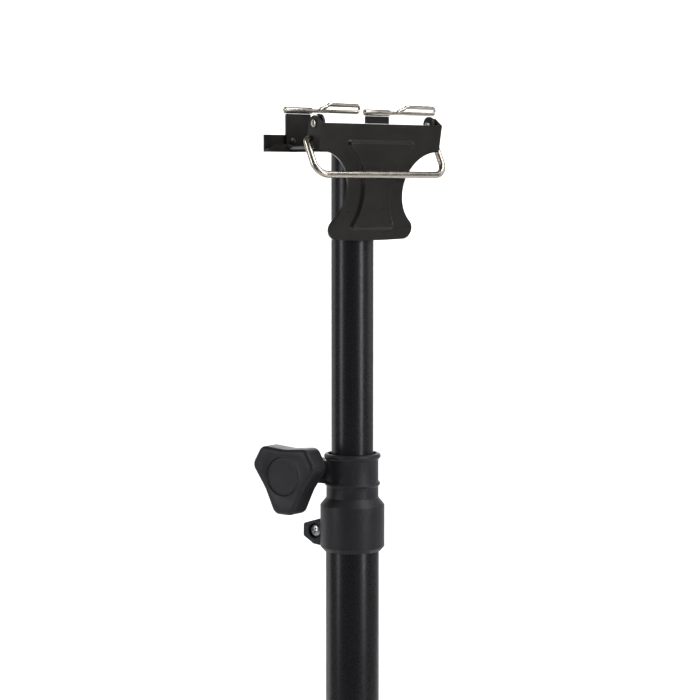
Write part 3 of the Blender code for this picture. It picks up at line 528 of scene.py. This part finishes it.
def cut(item, bm, place):
    """Cuts a shape out of a piece for good."""
    bm.transform(place)
    bmesh.ops.recalc_face_normals(bm, faces=bm.faces)
    other = item_from("cutter", bm)
    step = item.modifiers.new("cut", "BOOLEAN")
    step.operation = "DIFFERENCE"
    step.solver = "EXACT"
    step.object = other
    bpy.context.view_layer.update()
    graph = bpy.context.evaluated_depsgraph_get()
    result = bpy.data.meshes.new_from_object(item.evaluated_get(graph))
    item.modifiers.clear()
    item.data = result
    bpy.data.objects.remove(other)
    result.shade_smooth()
    result.set_sharp_from_angle(angle=radians(30))


def drill(item, place, radius, low, high, segments=32, lie=True):
    """Cuts a round hole along X, or along Z."""
    bm = bmesh.new()
    turned(bm, [(0, low), (radius, low), (radius, high), (0, high)], segments)
    if lie:
        lying(bm)
    cut(item, bm, place)


def hex_socket(item, place, radius, low, high, lie=False):
    """Cuts a hexagon socket into a screw's end."""
    bm = bmesh.new()
    skin(bm, [along("z", circle(0, 0, radius, 6), z) for z in (low, high)])
    if lie:
        lying(bm)
    cut(item, bm, place)


def soft_profile(points, radius, steps=4):
    """A lathe profile with its corners rounded, except those on the axis."""
    radii = [0 if r < 1e-9 else radius for r, _ in points]
    return rounded(points, radii, steps)


def ring_of(inner, outer, low, high, edge):
    return soft_profile([(inner, low), (outer, low), (outer, high), (inner, high)], edge)


def threaded(radius, low, high, pitch):
    """The half profile of a threaded end, as a stack of V grooves."""
    teeth = []
    for k in range(int((high - low) / pitch)):
        z = low + pitch * k
        teeth += [(radius, z + pitch * 0.15), (radius, z + pitch * 0.30)]
        teeth.append((radius - pitch * 0.45, z + pitch * 0.72))
    return teeth


def hexagon(name, slot, body, across, low, high, replaces=(), place=HERE, lie=True, bore=0.0):
    """A hexagon nut or bolt head, with its corners turned down."""
    half, height = across / 2, high - low
    turns = [tau * k / 72 for k in range(72)]

    def ring(z, limit):
        sizes = [min(half / cos((t % radians(60)) - radians(30)), limit) for t in turns]
        return [(r * cos(t), r * sin(t), z) for r, t in zip(sizes, turns)]

    chamfer = [(0.0, half * 0.96), (0.06, half * 1.04), (0.14, half / cos(radians(30)))]
    rings = [ring(low + height * part, limit) for part, limit in chamfer]
    rings += [ring(high - height * part, limit) for part, limit in reversed(chamfer)]
    bm = bmesh.new()
    if bore:
        inside = [[(bore * cos(t), bore * sin(t), z) for t in turns] for z in (high, low)]
        skin(bm, rings + inside + rings[:1], False)
        bmesh.ops.remove_doubles(bm, verts=bm.verts, dist=1e-7)
    else:
        skin(bm, rings)
    if lie:
        lying(bm)
    return piece(name, bm, slot, body, replaces, place, sharp=24)


# ---------------------------------------------------------------- base

def make_column():
    tube = ring_of(COLUMN_R - TUBE_WALL, COLUMN_R, COLUMN_LOW, COLUMN_HIGH, 0.0005)
    turned_piece("column", "black_paint", "base", tube, "column_tube", segments=128)
    cap = soft_profile([(0, 0), (0.0192, 0), (0.0215, 0.0015), (0.0215, 0.0040), (0.0172, 0.0040),
                        (0.0172, 0.0280), (0.0160, 0.0300), (0, 0.0300)], 0.0004, 3)
    turned_piece("column_foot", "black_nylon", "base", cap, "column_end_cap", segments=128)


def make_stop_rings():
    for name in ("low", "high"):
        low, high = heights("stop_ring_" + name)
        ring = turned_piece("ring_" + name, "black_paint", "base", ring_of(BORE_R, 0.0240, low, high, 0.0010),
                            "stop_ring_" + name, segments=128)
        at = shift(0, 0, (low + high) / 2)
        drill(ring, at, 0.0025, 0.015, 0.030)
        radius, inner_end, outer_end = 0.0021, 0.0201, 0.0252
        thread = threaded(radius, inner_end, outer_end - 0.0008, 0.0007)
        screw = [(0, inner_end), (radius * 0.6, inner_end)] + thread
        screw += [(radius, outer_end - 0.0006), (radius * 0.82, outer_end), (0, outer_end)]
        item = turned_piece("ring_screw_" + name, "zinc", "base", screw, "stop_screw_" + name, at, 40, True)
        hex_socket(item, at, 0.0011, outer_end - 0.0016, outer_end + 0.001, lie=True)


def make_leg(letter, body):
    """A hub with its socket and weld, the bent leg tube, its button screw and the rubber foot."""
    height = HUB_HEIGHTS[letter]
    place = shift(0, 0, height) @ Matrix.Rotation(radians(LEG_TURNS[letter]), 4, "Z")
    turned_piece("hub_" + letter, "black_paint", body, ring_of(BORE_R, HUB_R, -HUB_HALF, HUB_HALF, 0.0012),
                 "leg_hub_" + letter, place, 128)
    mouth = LEG_R + 0.0005
    sleeve = soft_profile([(mouth, SOCKET_FLOOR), (mouth, SOCKET_END), (SOCKET_R, SOCKET_END),
                           (SOCKET_R, 0.0215), (0.0080, 0.0215), (0.0080, SOCKET_FLOOR)], 0.0005, 3)
    socket = turned_piece("hub_socket_" + letter, "black_paint", body, sleeve, (), place, 80, lie=True)
    bead = bmesh.new()
    rings = []
    count, limit = 72, HUB_HALF - 0.0006
    for k in range(8):
        t = radians(360 * k / 8)
        reach = SOCKET_R + 0.0002 + WELD_R * cos(t)
        row = []
        for i in range(count):
            a = tau * i / count
            y, z = reach * cos(a), reach * sin(a)
            x = sqrt(max(HUB_R ** 2 - min(abs(y), HUB_R) ** 2, 0)) + WELD_R * sin(t)
            row.append((x + 0.00012 * sin(40 * a), y, max(-limit, min(limit, z))))
        rings.append(row)
    skin(bead, rings + rings[:1], False)
    bmesh.ops.remove_doubles(bead, verts=bead.verts, dist=1e-6)
    piece("hub_weld_" + letter, bead, "black_paint", body, (), place, sharp=60)

    floor_z = SOLE_Z - height
    corners = [(SOCKET_FLOOR + 0.0010, 0, 0), (0.085, 0, 0), (0.325, 0, floor_z), (LEG_REACH, 0, floor_z)]
    bm = bmesh.new()
    swept(bm, smooth_path(corners, 0.075, 18), LEG_R, 48, LEG_R - TUBE_WALL)
    leg = piece("leg_" + letter, bm, "black_paint", body, "leg_tube_" + letter, place)
    at = place @ shift(LEG_SCREW_X, 0, 0)
    for item in (socket, leg):
        drill(item, at, 0.0029, 0.005, 0.020, lie=False)
    head = [(0, 0.0070), (0.0025, 0.0070), (0.0025, 0.0141), (0.0044, 0.0141), (0.0044, 0.0148)]
    head += arc(0.0014, 0.0133, 0.0030, 28, 88, 6) + [(0, 0.0163)]
    button = turned_piece("leg_button_" + letter, "zinc", body, head, "leg_screw_" + letter, at, 48)
    hex_socket(button, at, 0.0015, 0.0150, 0.0175)
    make_foot(letter, body, place @ shift(0, 0, floor_z))


def make_foot(letter, body, place):
    """A grooved rubber foot over the leg's end, flat where it stands."""
    start = LEG_REACH - FOOT_OVERLAP

    def section(x, inset, radius=FOOT_R):
        points = arc(0, 0, radius - inset, -90, 270, 72)[:-1]
        return along("x", [(y, max(z, -SOLE_Z)) for y, z in points], start + x)

    bore = LEG_R + GAP
    inner = [section(FOOT_OVERLAP + 0.0005, 0, bore), section(0.0006, 0, bore)]
    lip = [section(0, 0, bore + 0.0006)]
    grooves = []
    for k in range(5):
        x = 0.006 + 0.0052 * k
        grooves += [section(x, 0), section(x + 0.0003, 0.0005)]
        grooves += [section(x + 0.0013, 0.0005), section(x + 0.0016, 0)]
    rings = [section(0.0, 0.0014), section(0.0004, 0.0006), section(0.0014, 0.0)] + grooves
    rings += [section(FOOT_LENGTH - 0.0025, 0), section(FOOT_LENGTH - 0.0012, 0.0004),
              section(FOOT_LENGTH - 0.0003, 0.0013), section(FOOT_LENGTH, 0.0026)]
    bm = bmesh.new()
    rows = skin(bm, lip + rings, False)
    bm.faces.new(rows[-1])
    inside = skin(bm, inner, False)
    bm.faces.new(inside[0])
    bridge(bm, rows[0], inside[-1])
    piece("foot_" + letter, bm, "rubber", body, "leg_foot_" + letter, place, sharp=45)


# ---------------------------------------------------------------- collar, clamp and knob

def make_collar():
    bead = arc(0.0181, 0.0, 0.0021, 90, -70, 14)
    second = arc(0.0181, -0.0196, 0.0017, 66, -66, 12)
    neck = 0.0186
    outside = [(0.0174, 0.0019)] + bead + [(neck + 0.0001, -0.0023), (neck, -0.0027)]
    outside += [(neck, -0.0176), (neck + 0.0001, -0.0180)] + second
    outside += [(neck + 0.0001, -0.0213), (neck, -0.0217)]
    cone = rounded([(neck, -0.0240), (neck, -0.0294), (0.0229, -0.0348), (0.0229, -0.0645), (0.0203, -0.0675),
                    (0.0190, -0.0675)], [0, 0.0006, 0.0008, 0.0010, 0.0007, 0], 5, closed=False)
    inside = [(BORE_R, -0.0672), (BORE_R, -0.0329), (0.0156, -0.0329), (0.0156, -0.0315), (0.0170, -0.0315),
              (0.0170, 0.0010)]
    half = degrees(asin(SLIT_HALF / 0.018))
    bm = bmesh.new()
    turned(bm, outside + cone + inside, 160, 360 - 2 * half, 90 + half)
    piece("collar", bm, "black_nylon", "base", "collar_body", COLLAR, sharp=38)

    low, high, root = CLAMP_Z - CLAMP_LUG_R, CLAMP_Z + CLAMP_LUG_R, 0.0174
    upper = [(CLAMP_Y, low)] + arc(CLAMP_Y, CLAMP_Z, CLAMP_LUG_R, -88, 88, 28)
    upper += [(CLAMP_Y, high), (root, high), (root, low)]
    lower = rounded([(0.0196, -0.0450), (0.0262, -0.0472), (0.0376, -0.0507), (0.0378, -0.0599),
                     (0.0288, -0.0652), (0.0196, -0.0661)], [0, 0.002, 0.0016, 0.0016, 0.0016, 0], 6)
    for part, outline, place, hole in (("upper", upper, KNOB, CLAMP_BOLT_R + GAP),
                                       ("lower", lower, LOWER, LOWER_SCREW_R + GAP)):
        middle = [sum(values) / len(outline) for values in zip(*outline)]
        edge = [(0.0, 0.0006), (0.0002, 0.0002), (0.0007, 0.0)]

        def shrunk(amount):
            y, z = middle
            scale = 1 - amount / 0.0095
            return [(y + (a - y) * scale, z + (b - z) * scale) for a, b in outline]

        for side, low, high in (("near", -LUG_HALF, -SLIT_HALF), ("far", SLIT_HALF, LUG_HALF)):
            bm = bmesh.new()
            faces = [(low + x, amount) for x, amount in edge]
            faces += [(high - x, amount) for x, amount in reversed(edge)]
            skin(bm, [along("x", shrunk(amount), x) for x, amount in faces])
            lug = piece("lug_%s_%s" % (part, side), bm, "black_nylon", "base", (), COLLAR, sharp=40)
            drill(lug, place, hole, low - 0.002, high + 0.002, 40)
            if part == "lower" and side == "near":
                drill(lug, place, SEAT_R, -0.012, SEAT_DEPTH - LUG_HALF, 56)

    half = degrees(asin(SLIT_HALF / 0.016))
    bm = bmesh.new()
    turned(bm, ring_of(RISER_R + GAP, 0.0167, -0.0312, -0.0015, 0.0003), 128, 360 - 2 * half, 90 + half)
    piece("sleeve", bm, "white_nylon", "base", "friction_sleeve", COLLAR)


def make_fasteners():
    for name, across, high, place, radius in (("clamp", 0.0100, 0.0124, KNOB, CLAMP_BOLT_R),
                                              ("lower", 0.0080, 0.0117, LOWER, LOWER_SCREW_R)):
        hexagon(name + "_hex_nut", "zinc", "base", across, 0.0082, high, name + "_nut", place,
                bore=radius + 0.0001)
    under = SEAT_DEPTH - LUG_HALF - GAP
    shank = [(0, 0.0125), (0.0019, 0.0125), (LOWER_SCREW_R, 0.0119)]
    shank += [(r, 0.0118 - (z + 0.0060)) for r, z in threaded(LOWER_SCREW_R, -0.0060, 0.0030, 0.0008)]
    dome = [(LOWER_SCREW_R, 0), (0.0043, 0), (0.0045, 0.0004), (0.0044, 0.0009), (0.0040, 0.0014),
            (0.0033, 0.0018), (0.0022, 0.0021), (0.0010, 0.0022), (0, 0.0022)]
    dome = [(r, under - x) for r, x in dome]
    screw = turned_piece("phillips_screw", "zinc", "base", shank + dome, "lower_screw", LOWER, 72, lie=True)
    for turn in (20.0, 110.0):
        blade = bmesh.new()
        rings = []
        for x, long, wide in ((under - 0.0034, 0.0031, 0.00062), (under - 0.0007, 0.0018, 0.00045)):
            rings.append([(x, a, b) for a, b in ((-long, -wide), (long, -wide), (long, wide), (-long, wide))])
        skin(blade, rings)
        cut(screw, blade, LOWER @ Matrix.Rotation(radians(turn), 4, "X"))
    washer = ring_of(CLAMP_BOLT_R + GAP, 0.0072, -0.0092, -0.0081, 0.0002)
    turned_piece("clamp_disc", "zinc", "clamp_washer", washer, "clamp_washer", KNOB, 72, lie=True)


def make_knob():
    bm = bmesh.new()
    behind = [(0.0, 0.0020), (0.0002, 0.0014), (0.0009, 0.0005), (0.0014, 0.0001), (0.0020, 0.0)]
    ahead = [(0.0026, 0.0), (0.0020, 0.0001), (0.0015, 0.0004), (0.0005, 0.0014), (0.0001, 0.0020),
             (0.0, 0.0026)]
    steps = [(KNOB_BACK - x, inset) for x, inset in behind] + [(KNOB_FRONT + x, inset) for x, inset in ahead]
    rows = skin(bm, [along("x", lobed_outline(inset), x) for x, inset in steps], False)
    back, front = rows[0], rows[-1]
    groove, rim = CAP_R + 0.00025, CAP_R + 0.00016
    edges = [bm.edges.get((front[i - 1], front[i])) for i in range(len(front))]
    inner = [bm.verts.new(point) for point in along("x", circle(0, 0, groove + 0.0003, 96), KNOB_FRONT)]
    edges += [bm.edges.new((inner[i - 1], inner[i])) for i in range(len(inner))]
    bmesh.ops.triangle_fill(bm, use_beauty=True, edges=edges)
    previous = inner
    for radius, x in ((groove + 0.0001, KNOB_FRONT + 0.0002), (groove, KNOB_FRONT + 0.0010),
                      (groove, KNOB_FRONT + 0.0067)):
        row = [bm.verts.new(point) for point in along("x", circle(0, 0, radius, 96), x)]
        bridge(bm, previous, row)
        previous = row
    bm.faces.new(previous)
    bm.faces.new(back)
    piece("knob_grip", bm, "black_nylon", "knob", "knob_body", KNOB, sharp=50)
    hub = soft_profile([(0.0033, -0.0265), (0.0095, -0.0265), (0.0085, -0.0252), (0.0067, -0.0228),
                        (0.0065, -0.0096), (0.0033, -0.0096)], 0.0005, 3)
    turned_piece("knob_hub", "black_nylon", "knob", hub, (), KNOB, 80, lie=True)
    face = [(0, -0.0410), (rim, -0.0410), (rim, -0.0422), (rim - 0.0002, -0.0424), (rim - 0.0006, -0.0425),
            (0.0110, -0.0424), (0.0060, -0.0423), (0, -0.04225)]
    turned_piece("knob_badge_disc", "black_nylon", "knob", face, "knob_cap", KNOB, 96, lie=True)
    shank = [(0, 0.0150), (0.0022, 0.0150), (CLAMP_BOLT_R, 0.0143)]
    shank += [(r, 0.0142 - z) for r, z in threaded(CLAMP_BOLT_R, 0.0, 0.0220, 0.0010)]
    shank += [(CLAMP_BOLT_R, -0.0080), (CLAMP_BOLT_R, -0.0380), (0, -0.0380)]
    turned_piece("clamp_stud", "zinc", "knob", shank, "clamp_bolt", KNOB, 48, lie=True)
    hexagon("clamp_stud_head", "zinc", "knob", 0.0100, -0.0406, -0.0366, (), KNOB)


# ---------------------------------------------------------------- riser

def make_riser():
    tube = ring_of(RISER_R - TUBE_WALL, RISER_R, RISER_LOW, RISER_HIGH, 0.0005)
    turned_piece("riser", "black_paint", "riser_head", tube, "riser_tube", segments=128)
    low, high = heights("riser_guide")
    turned_piece("guide_bush", "white_nylon", "riser_slider",
                 ring_of(RISER_R + GAP, COLUMN_R - TUBE_WALL - GAP, low, high, 0.0008), "riser_guide")
    top = heights("riser_plug")[1]
    plug = soft_profile([(0, top - 0.030), (0.0110, top - 0.030), (0.0132, top - 0.026), (0.0132, top),
                         (HEAD_HOLE_R, top), (HEAD_HOLE_R, top - 0.024), (0, top - 0.024)], 0.0003, 3)
    turned_piece("plug", "black_nylon", "riser_head", plug, "riser_plug", segments=72)
    at = shift(0, 0, SADDLE_FLOOR + SHEET)
    washer = ring_of(HEAD_HOLE_R, 0.0085, GAP, 0.0019, 0.0002)
    turned_piece("head_disc", "zinc", "riser_head", washer, "head_washer", at, 72)
    shank = [(0, -0.0260), (0.0032, -0.0260)] + threaded(0.0040, -0.0255, -0.0060, 0.00125)
    shank += [(0.0040, -0.0055), (0.0040, 0.0030), (0, 0.0030)]
    turned_piece("head_stud", "zinc", "riser_head", shank, "head_bolt", at, 48)
    hexagon("head_stud_hex", "zinc", "riser_head", 0.0130, 0.0022, 0.0073, (), at, lie=False)


# ---------------------------------------------------------------- latch head

def mirror_loop(half):
    """A closed outline from its +X half."""
    return half + [(-x, z) for x, z in reversed(half) if x > 1e-9]


def lever_half():
    """From the middle of the top edge, down the concave side and round the lobe, to the bottom."""
    reach = WAIST_R + LOBE_TIP_R
    lobe_z = WAIST_Z - sqrt(reach ** 2 - (WAIST_X - LOBE_X) ** 2)
    meet = degrees(atan2(lobe_z - WAIST_Z, LOBE_X - WAIST_X)) % 360
    start = degrees(atan2(-BAR_DROP - WAIST_Z, LEVER_HALF - WAIST_X))
    side = arc(WAIST_X, WAIST_Z, WAIST_R, start, meet, 48)
    side[0] = (LEVER_HALF, -BAR_DROP)
    tip = arc(LOBE_X, lobe_z, LOBE_TIP_R, meet - 180, -84, 20)[1:]
    low = [(x, rise - LEVER_LENGTH) for x, rise in ((0.022, 0.0004), (0.014, 0.00015), (0.007, 0.00003))]
    return [(0, 0), (LEVER_HALF, 0)] + side + tip + low + [(0, -LEVER_LENGTH)]


def panel_half(inset):
    """The raised panel's outline: a circular hollow on each side, and rounded corners."""
    top, base, radius, corner = PANEL_TOP - inset, PANEL_BASE + inset, PANEL_R + inset, PANEL_CORNER - inset

    def corner_place(z):
        x = PANEL_X - sqrt((radius + corner) ** 2 - (z - PANEL_Z) ** 2)
        return x, degrees(atan2(PANEL_Z - z, PANEL_X - x))

    top_x, top_turn = corner_place(top - corner)
    base_x, base_turn = corner_place(base + corner)
    upper = arc(top_x, top - corner, corner, 90, top_turn, 10)
    side = arc(PANEL_X, PANEL_Z, radius, top_turn + 180, base_turn + 180, 36)[1:-1]
    lower = arc(base_x, base + corner, corner, base_turn, -90, 10)
    return [(0, top)] + upper + side + lower + [(0, base)]


def make_lever():
    face, raise_z = -PIVOT_DEPTH, PIVOT_DROP

    def place(outline, y):
        return [(x, y, z + raise_z) for x, z in outline]

    bm = bmesh.new()
    steps = []
    for k in range(10):
        t = k / 9
        steps.append((PANEL_SLOPE * t, PANEL_RISE * (3 * t * t - 2 * t * t * t)))
    loops = [place(mirror_loop(panel_half(inset)), face - rise) for inset, rise in steps]
    fill(bm, place(mirror_loop(lever_half()), face), loops[0])
    skin(bm, loops, False)
    fill(bm, loops[-1])
    back, bottom = face + FLANGE_DEPTH, raise_z - BAR_DROP
    ear = arc(0, 0, FLANGE_EAR_R, 15, 125, 24)
    outline = [(face, raise_z), (face, bottom), (back - 0.004, bottom)]
    outline += arc(back - 0.004, bottom + 0.004, 0.004, -90, 0, 10)[1:] + [(back, 0.0)] + ear
    for side in (-1, 1):
        x = side * LEVER_HALF
        fill(bm, along("x", outline, x), along("x", circle(0, 0, PIN_R + HOLE_GAP, 36), x),
             along("x", circle(BAIL_BACK, -BAIL_DROP, BAIL_R + HOLE_GAP, 40), x))
    piece("latch_lever", bm, "black_gloss", "lever", "lever_plate", LEVER, bevel=SHEET_EDGE,
          sheet=(SHEET, (0, face - PANEL_RISE, -0.04), (0, -1, 0)))

    half = [(BAIL_HALF - 0.0066, 0, 0), (BAIL_HALF, 0, 0), (BAIL_HALF, 0, -BAIL_LENGTH)]
    right = smooth_path(half + [(0, 0, -BAIL_LENGTH)], 0.003, 10)[:12]
    right += smooth_path([half[1], half[2], (0, 0, -BAIL_LENGTH)], BAIL_BEND, 18)[1:-1]
    path = right + [Vector((-p[0], p[1], p[2])) for p in reversed(right)]
    bm = bmesh.new()
    swept(bm, path, BAIL_R, 36, round_ends=0.0006)
    piece("bail_wire", bm, "nickel", "bail", "pull_bail", BAIL, sharp=50)


def make_saddle():
    bm = bmesh.new()
    x, floor, front, back, top = SADDLE_HALF, SADDLE_FLOOR, SADDLE_FRONT, SADDLE_BACK, SADDLE_TOP
    fill(bm, [(-x, front, floor), (x, front, floor), (x, back, floor), (-x, back, floor)],
         along("z", circle(0, 0, HEAD_HOLE_R, 48), floor))
    fill(bm, [(-x, front, floor), (x, front, floor), (x, front, top), (-x, front, top)])
    ear = arc(PIVOT_Y, PIVOT_Z + EAR_RAISE, EAR_R, 5, 205, 40)
    outline = [(front, top)] + ear + [(SADDLE_TOE, floor), (front, floor)]
    hole = circle(PIVOT_Y, PIVOT_Z, PIN_R + HOLE_GAP, 36)
    for side in (-1, 1):
        fill(bm, along("x", outline, side * x), along("x", hole, side * x))
    piece("latch_saddle", bm, "black_gloss", "riser_head", "saddle", bevel=SHEET_EDGE,
          sheet=(SHEET, (0, front, top - 0.004), (0, -1, 0)))
    for name, side in (("left", -1), ("right", 1)):
        head = [(0, 0.0459), (0.0018, 0.0459), (0.0025, 0.0463), (0.0027, 0.0468), (0.0027, 0.0472),
                (PIN_R, 0.0472), (PIN_R, 0.0532), (PIN_HEAD_R, 0.0532), (PIN_HEAD_R, 0.0535),
                (0.0026, 0.05375), (0.0022, 0.0540), (0.0010, 0.0541), (0, 0.0541)]
        at = shift(0, PIVOT_Y, PIVOT_Z) @ Matrix.Rotation(0 if side > 0 else pi, 4, "Z")
        turned_piece("hinge_pin_" + name, "nickel", "riser_head", head, "lever_pin_" + name, at, 56, lie=True)


def make_rail():
    bm = bmesh.new()
    x, back, front, base = RAIL_HALF, RAIL_BACK, RAIL_FRONT, RAIL_BASE
    right = [(x, back), (x, front), (LIP_INNER, front), (TONGUE_HALF, front), (TONGUE_HALF, TONGUE_FRONT)]
    fill(bm, along("z", mirror_loop(right), base), along("z", circle(0, 0, HEAD_HOLE_R, 48), base))
    holes = [circle(side * (POST_INNER + POST_OUTER) / 2 + step, RIVET_Z, RIVET_R + HOLE_GAP, 28)
             for side in (-1, 1) for step in (-RIVET_STEP, RIVET_STEP)]
    fill(bm, along("y", [(x, base), (x, RAIL_TOP), (-x, RAIL_TOP), (-x, base)], back),
         *[along("y", hole, back) for hole in holes])
    lip = [(x, base), (LIP_INNER, base), (LIP_INNER + 0.0044, base + LIP_RISE), (x - 0.0060, base + LIP_RISE)]
    for side in (-1, 1):
        fill(bm, along("y", [(side * a, b) for a, b in lip], front))
    piece("j_rail", bm, "black_gloss", "riser_head", "rear_rail", bevel=0.00038,
          sheet=(RAIL_SHEET, (0, back, RAIL_TOP - 0.003), (0, 1, 0)))


def make_post(name, side):
    low, high = sorted((side * POST_INNER, side * POST_OUTER))
    middle = (low + high) / 2
    outline = rounded([(low, POST_LOW), (high, POST_LOW), (high, POST_HIGH), (low, POST_HIGH)],
                      [0.004, 0.004, 0.0006, 0.0006], 8)
    front, back = POST_Y - POST_SHEET / 2, POST_Y + POST_SHEET / 2
    holes = [circle(middle + step, RIVET_Z, RIVET_R + HOLE_GAP, 28) for step in (-RIVET_STEP, RIVET_STEP)]
    bm = bmesh.new()
    for y in (front, back):
        fill(bm, along("y", outline, y), *[along("y", hole, y) for hole in holes])
    for loop in [outline] + holes:
        skin(bm, [along("y", loop, front), along("y", loop, back)], False)
    bmesh.ops.remove_doubles(bm, verts=bm.verts, dist=1e-7)
    piece("upright_" + name, bm, "black_gloss", "riser_head", "post_" + name, bevel=0.00035)
    head, tail = front - 0.0001, RAIL_BACK - 0.0001
    dome = [(0, head - 0.0008), (0.0008, head - 0.00077), (0.0016, head - 0.0006), (0.0022, head - 0.0003),
            (0.0025, head), (RIVET_R, head), (RIVET_R, tail), (0, tail)]
    for place, step in (("inner", -RIVET_STEP * side), ("outer", RIVET_STEP * side)):
        bm = bmesh.new()
        turned(bm, dome, 36)
        for vert in bm.verts:
            a, b, c = vert.co
            vert.co = (a, c, -b)
        rivet = "rivet_%s_%s" % (name, place)
        piece(rivet, bm, "black_gloss", "riser_head", "post_" + rivet, shift(middle + step, 0, RIVET_Z))

    at = shift(middle, POST_Y, CRANK_Z)
    half, bore = BARREL_HALF, CRANK_R + 0.0001
    barrel = soft_profile([(bore, -half), (BARREL_R, -half), (BARREL_R, half), (bore, half)], 0.0003, 3)
    turned_piece("crank_barrel_" + name, "nickel", "riser_head", barrel, "barrel_" + name, at, 56, lie=True)
    reach, rise, beside = CRANK_REACH - CRANK_RISE / 2, CRANK_RISE, CRANK_BESIDE
    path = [(x, 0, 0) for x in (-half - 0.0008, 0, half + 0.002, 0.024, 0.038)]
    for k, (a, b) in enumerate(arc(reach, rise / 2, rise / 2, -90, 90, 18)):
        path.append((a, beside * 0.15 * k / 18, b))
    path += [(0.044, beside * 0.4, rise), (0.038, beside * 0.6, rise), (0.033, beside * 0.85, rise),
             (0.028, beside, rise), (0.0250, beside, rise), (0.0242, beside, rise - 0.0003),
             (0.0235, beside, rise - 0.0008), (0.0228, beside, rise - 0.0014), (0.0196, beside, 0.0020),
             (0.0165, beside, 0.0009)]
    bm = bmesh.new()
    swept(bm, path, CRANK_R, 28, round_ends=0.0004)
    piece("crank_wire_" + name, bm, "nickel", "crank_" + name, "crank_" + name, at, sharp=50)


# ---------------------------------------------------------------- floor, light and camera

def plain(name, colour, roughness):
    n = Nodes(name)
    fine = n.noise(90.0, 3.0)
    return n.set(Base_Color=n.mix(n.ramp(fine, 0.3, 0.7), tint(colour, 0.985), colour),
                 Roughness=n.ramp(fine, 0.3, 0.7, roughness - 0.03, roughness + 0.03))


def make_stage():
    """A pale floor that sweeps up into a backdrop behind the stand."""
    bm = bmesh.new()
    front, back, bend, top, half_width = -1.3, 2.2, 1.5, 5.0, 3.2
    profile = [(front, 0.0), (back, 0.0)]
    for angle in range(6, 91, 6):
        t = radians(angle)
        profile.append((back + bend * sin(t), bend - bend * cos(t)))
    profile.append((back + bend, top))
    rows = [[bm.verts.new((x, y, z)) for y, z in profile] for x in (-half_width, half_width)]
    for i in range(len(profile) - 1):
        bm.faces.new((rows[0][i], rows[1][i], rows[1][i + 1], rows[0][i + 1]))
    bm.transform(Matrix.Rotation(CAMERA_TURN, 4, "Z") @ shift(0, 0, -0.0002))
    floor = item_from("sweep", bm)
    floor.data.shade_smooth()
    floor.data.materials.append(plain("pale_paper", (0.93, 0.93, 0.93), 0.85))


def area_light(name, side, ahead, height, target, wide, tall, watts, colour=(1, 1, 1)):
    """A soft box aimed at a point; it stands side to the right of the stand and ahead towards the camera."""
    data = bpy.data.lights.new(name, "AREA")
    data.shape = "RECTANGLE"
    data.size, data.size_y = wide, tall
    data.energy = watts
    data.color = colour
    item = bpy.data.objects.new(name, data)
    bpy.context.scene.collection.objects.link(item)
    item.location = RIGHT * side + TOWARDS * ahead + Vector((0, 0, height))
    item.rotation_euler = (Vector(target) - item.location).to_track_quat("-Z", "Y").to_euler()


def make_light():
    world = bpy.data.worlds.new("studio")
    bpy.context.scene.world = world
    world.use_nodes = True
    tree = world.node_tree
    background = tree.nodes["Background"]
    background.inputs[0].default_value = (1.0, 1.0, 1.0, 1.0)
    # pale where it is seen beyond the floor's edge, dim as a light
    seen = tree.nodes.new("ShaderNodeLightPath").outputs["Is Camera Ray"]
    strength = tree.nodes.new("ShaderNodeMapRange")
    strength.inputs["To Min"].default_value = 0.07
    strength.inputs["To Max"].default_value = 0.90
    tree.links.new(seen, strength.inputs["Value"])
    tree.links.new(strength.outputs[0], background.inputs[1])
    area_light("key_strip", 1.30, 1.10, 1.05, (0, 0, 0.7), 0.20, 1.3, 10, (0.96, 0.97, 1.0))
    area_light("left_key", -1.28, 0.66, 1.05, (0, 0, 0.7), 0.14, 1.3, 6, (0.97, 0.98, 1.0))
    area_light("right_wall", 1.75, -0.6, 1.2, (0, 0, 0.8), 1.3, 1.5, 4.5)
    area_light("left_wall", -1.3, -0.75, 0.8, (0, 0, 0.6), 0.6, 1.6, 3)
    area_light("top_box", 0.85, 0.25, 1.9, (0, 0, 0.65), 0.45, 0.45, 6, (1.0, 0.98, 0.95))
    area_light("wall_wash", 0.0, -2.3, 2.7, (2.28, 2.92, 1.0), 1.8, 1.6, 100)
    bpy.context.scene.view_settings.view_transform = "Standard"


def make_camera():
    data = bpy.data.cameras.new("camera")
    data.lens, data.sensor_width = CAMERA_LENS, 36.0
    data.clip_start, data.clip_end = 0.05, 50.0
    camera = bpy.data.objects.new("camera", data)
    bpy.context.scene.collection.objects.link(camera)
    camera.location = TOWARDS * CAMERA_DISTANCE - RIGHT * CAMERA_SIDE + Vector((0, 0, CAMERA_HEIGHT))
    camera.rotation_euler = (pi / 2 - CAMERA_PITCH, 0, CAMERA_TURN)
    bpy.context.scene.camera = camera


make_camera()
make_light()
make_stage()
make_column()
make_stop_rings()
make_leg("a", "base")
make_leg("b", "swivel_leg_b")
make_leg("c", "swivel_leg_c")
make_collar()
make_fasteners()
make_knob()
make_riser()
make_lever()
make_saddle()
make_rail()
make_post("left", -1)
make_post("right", 1)
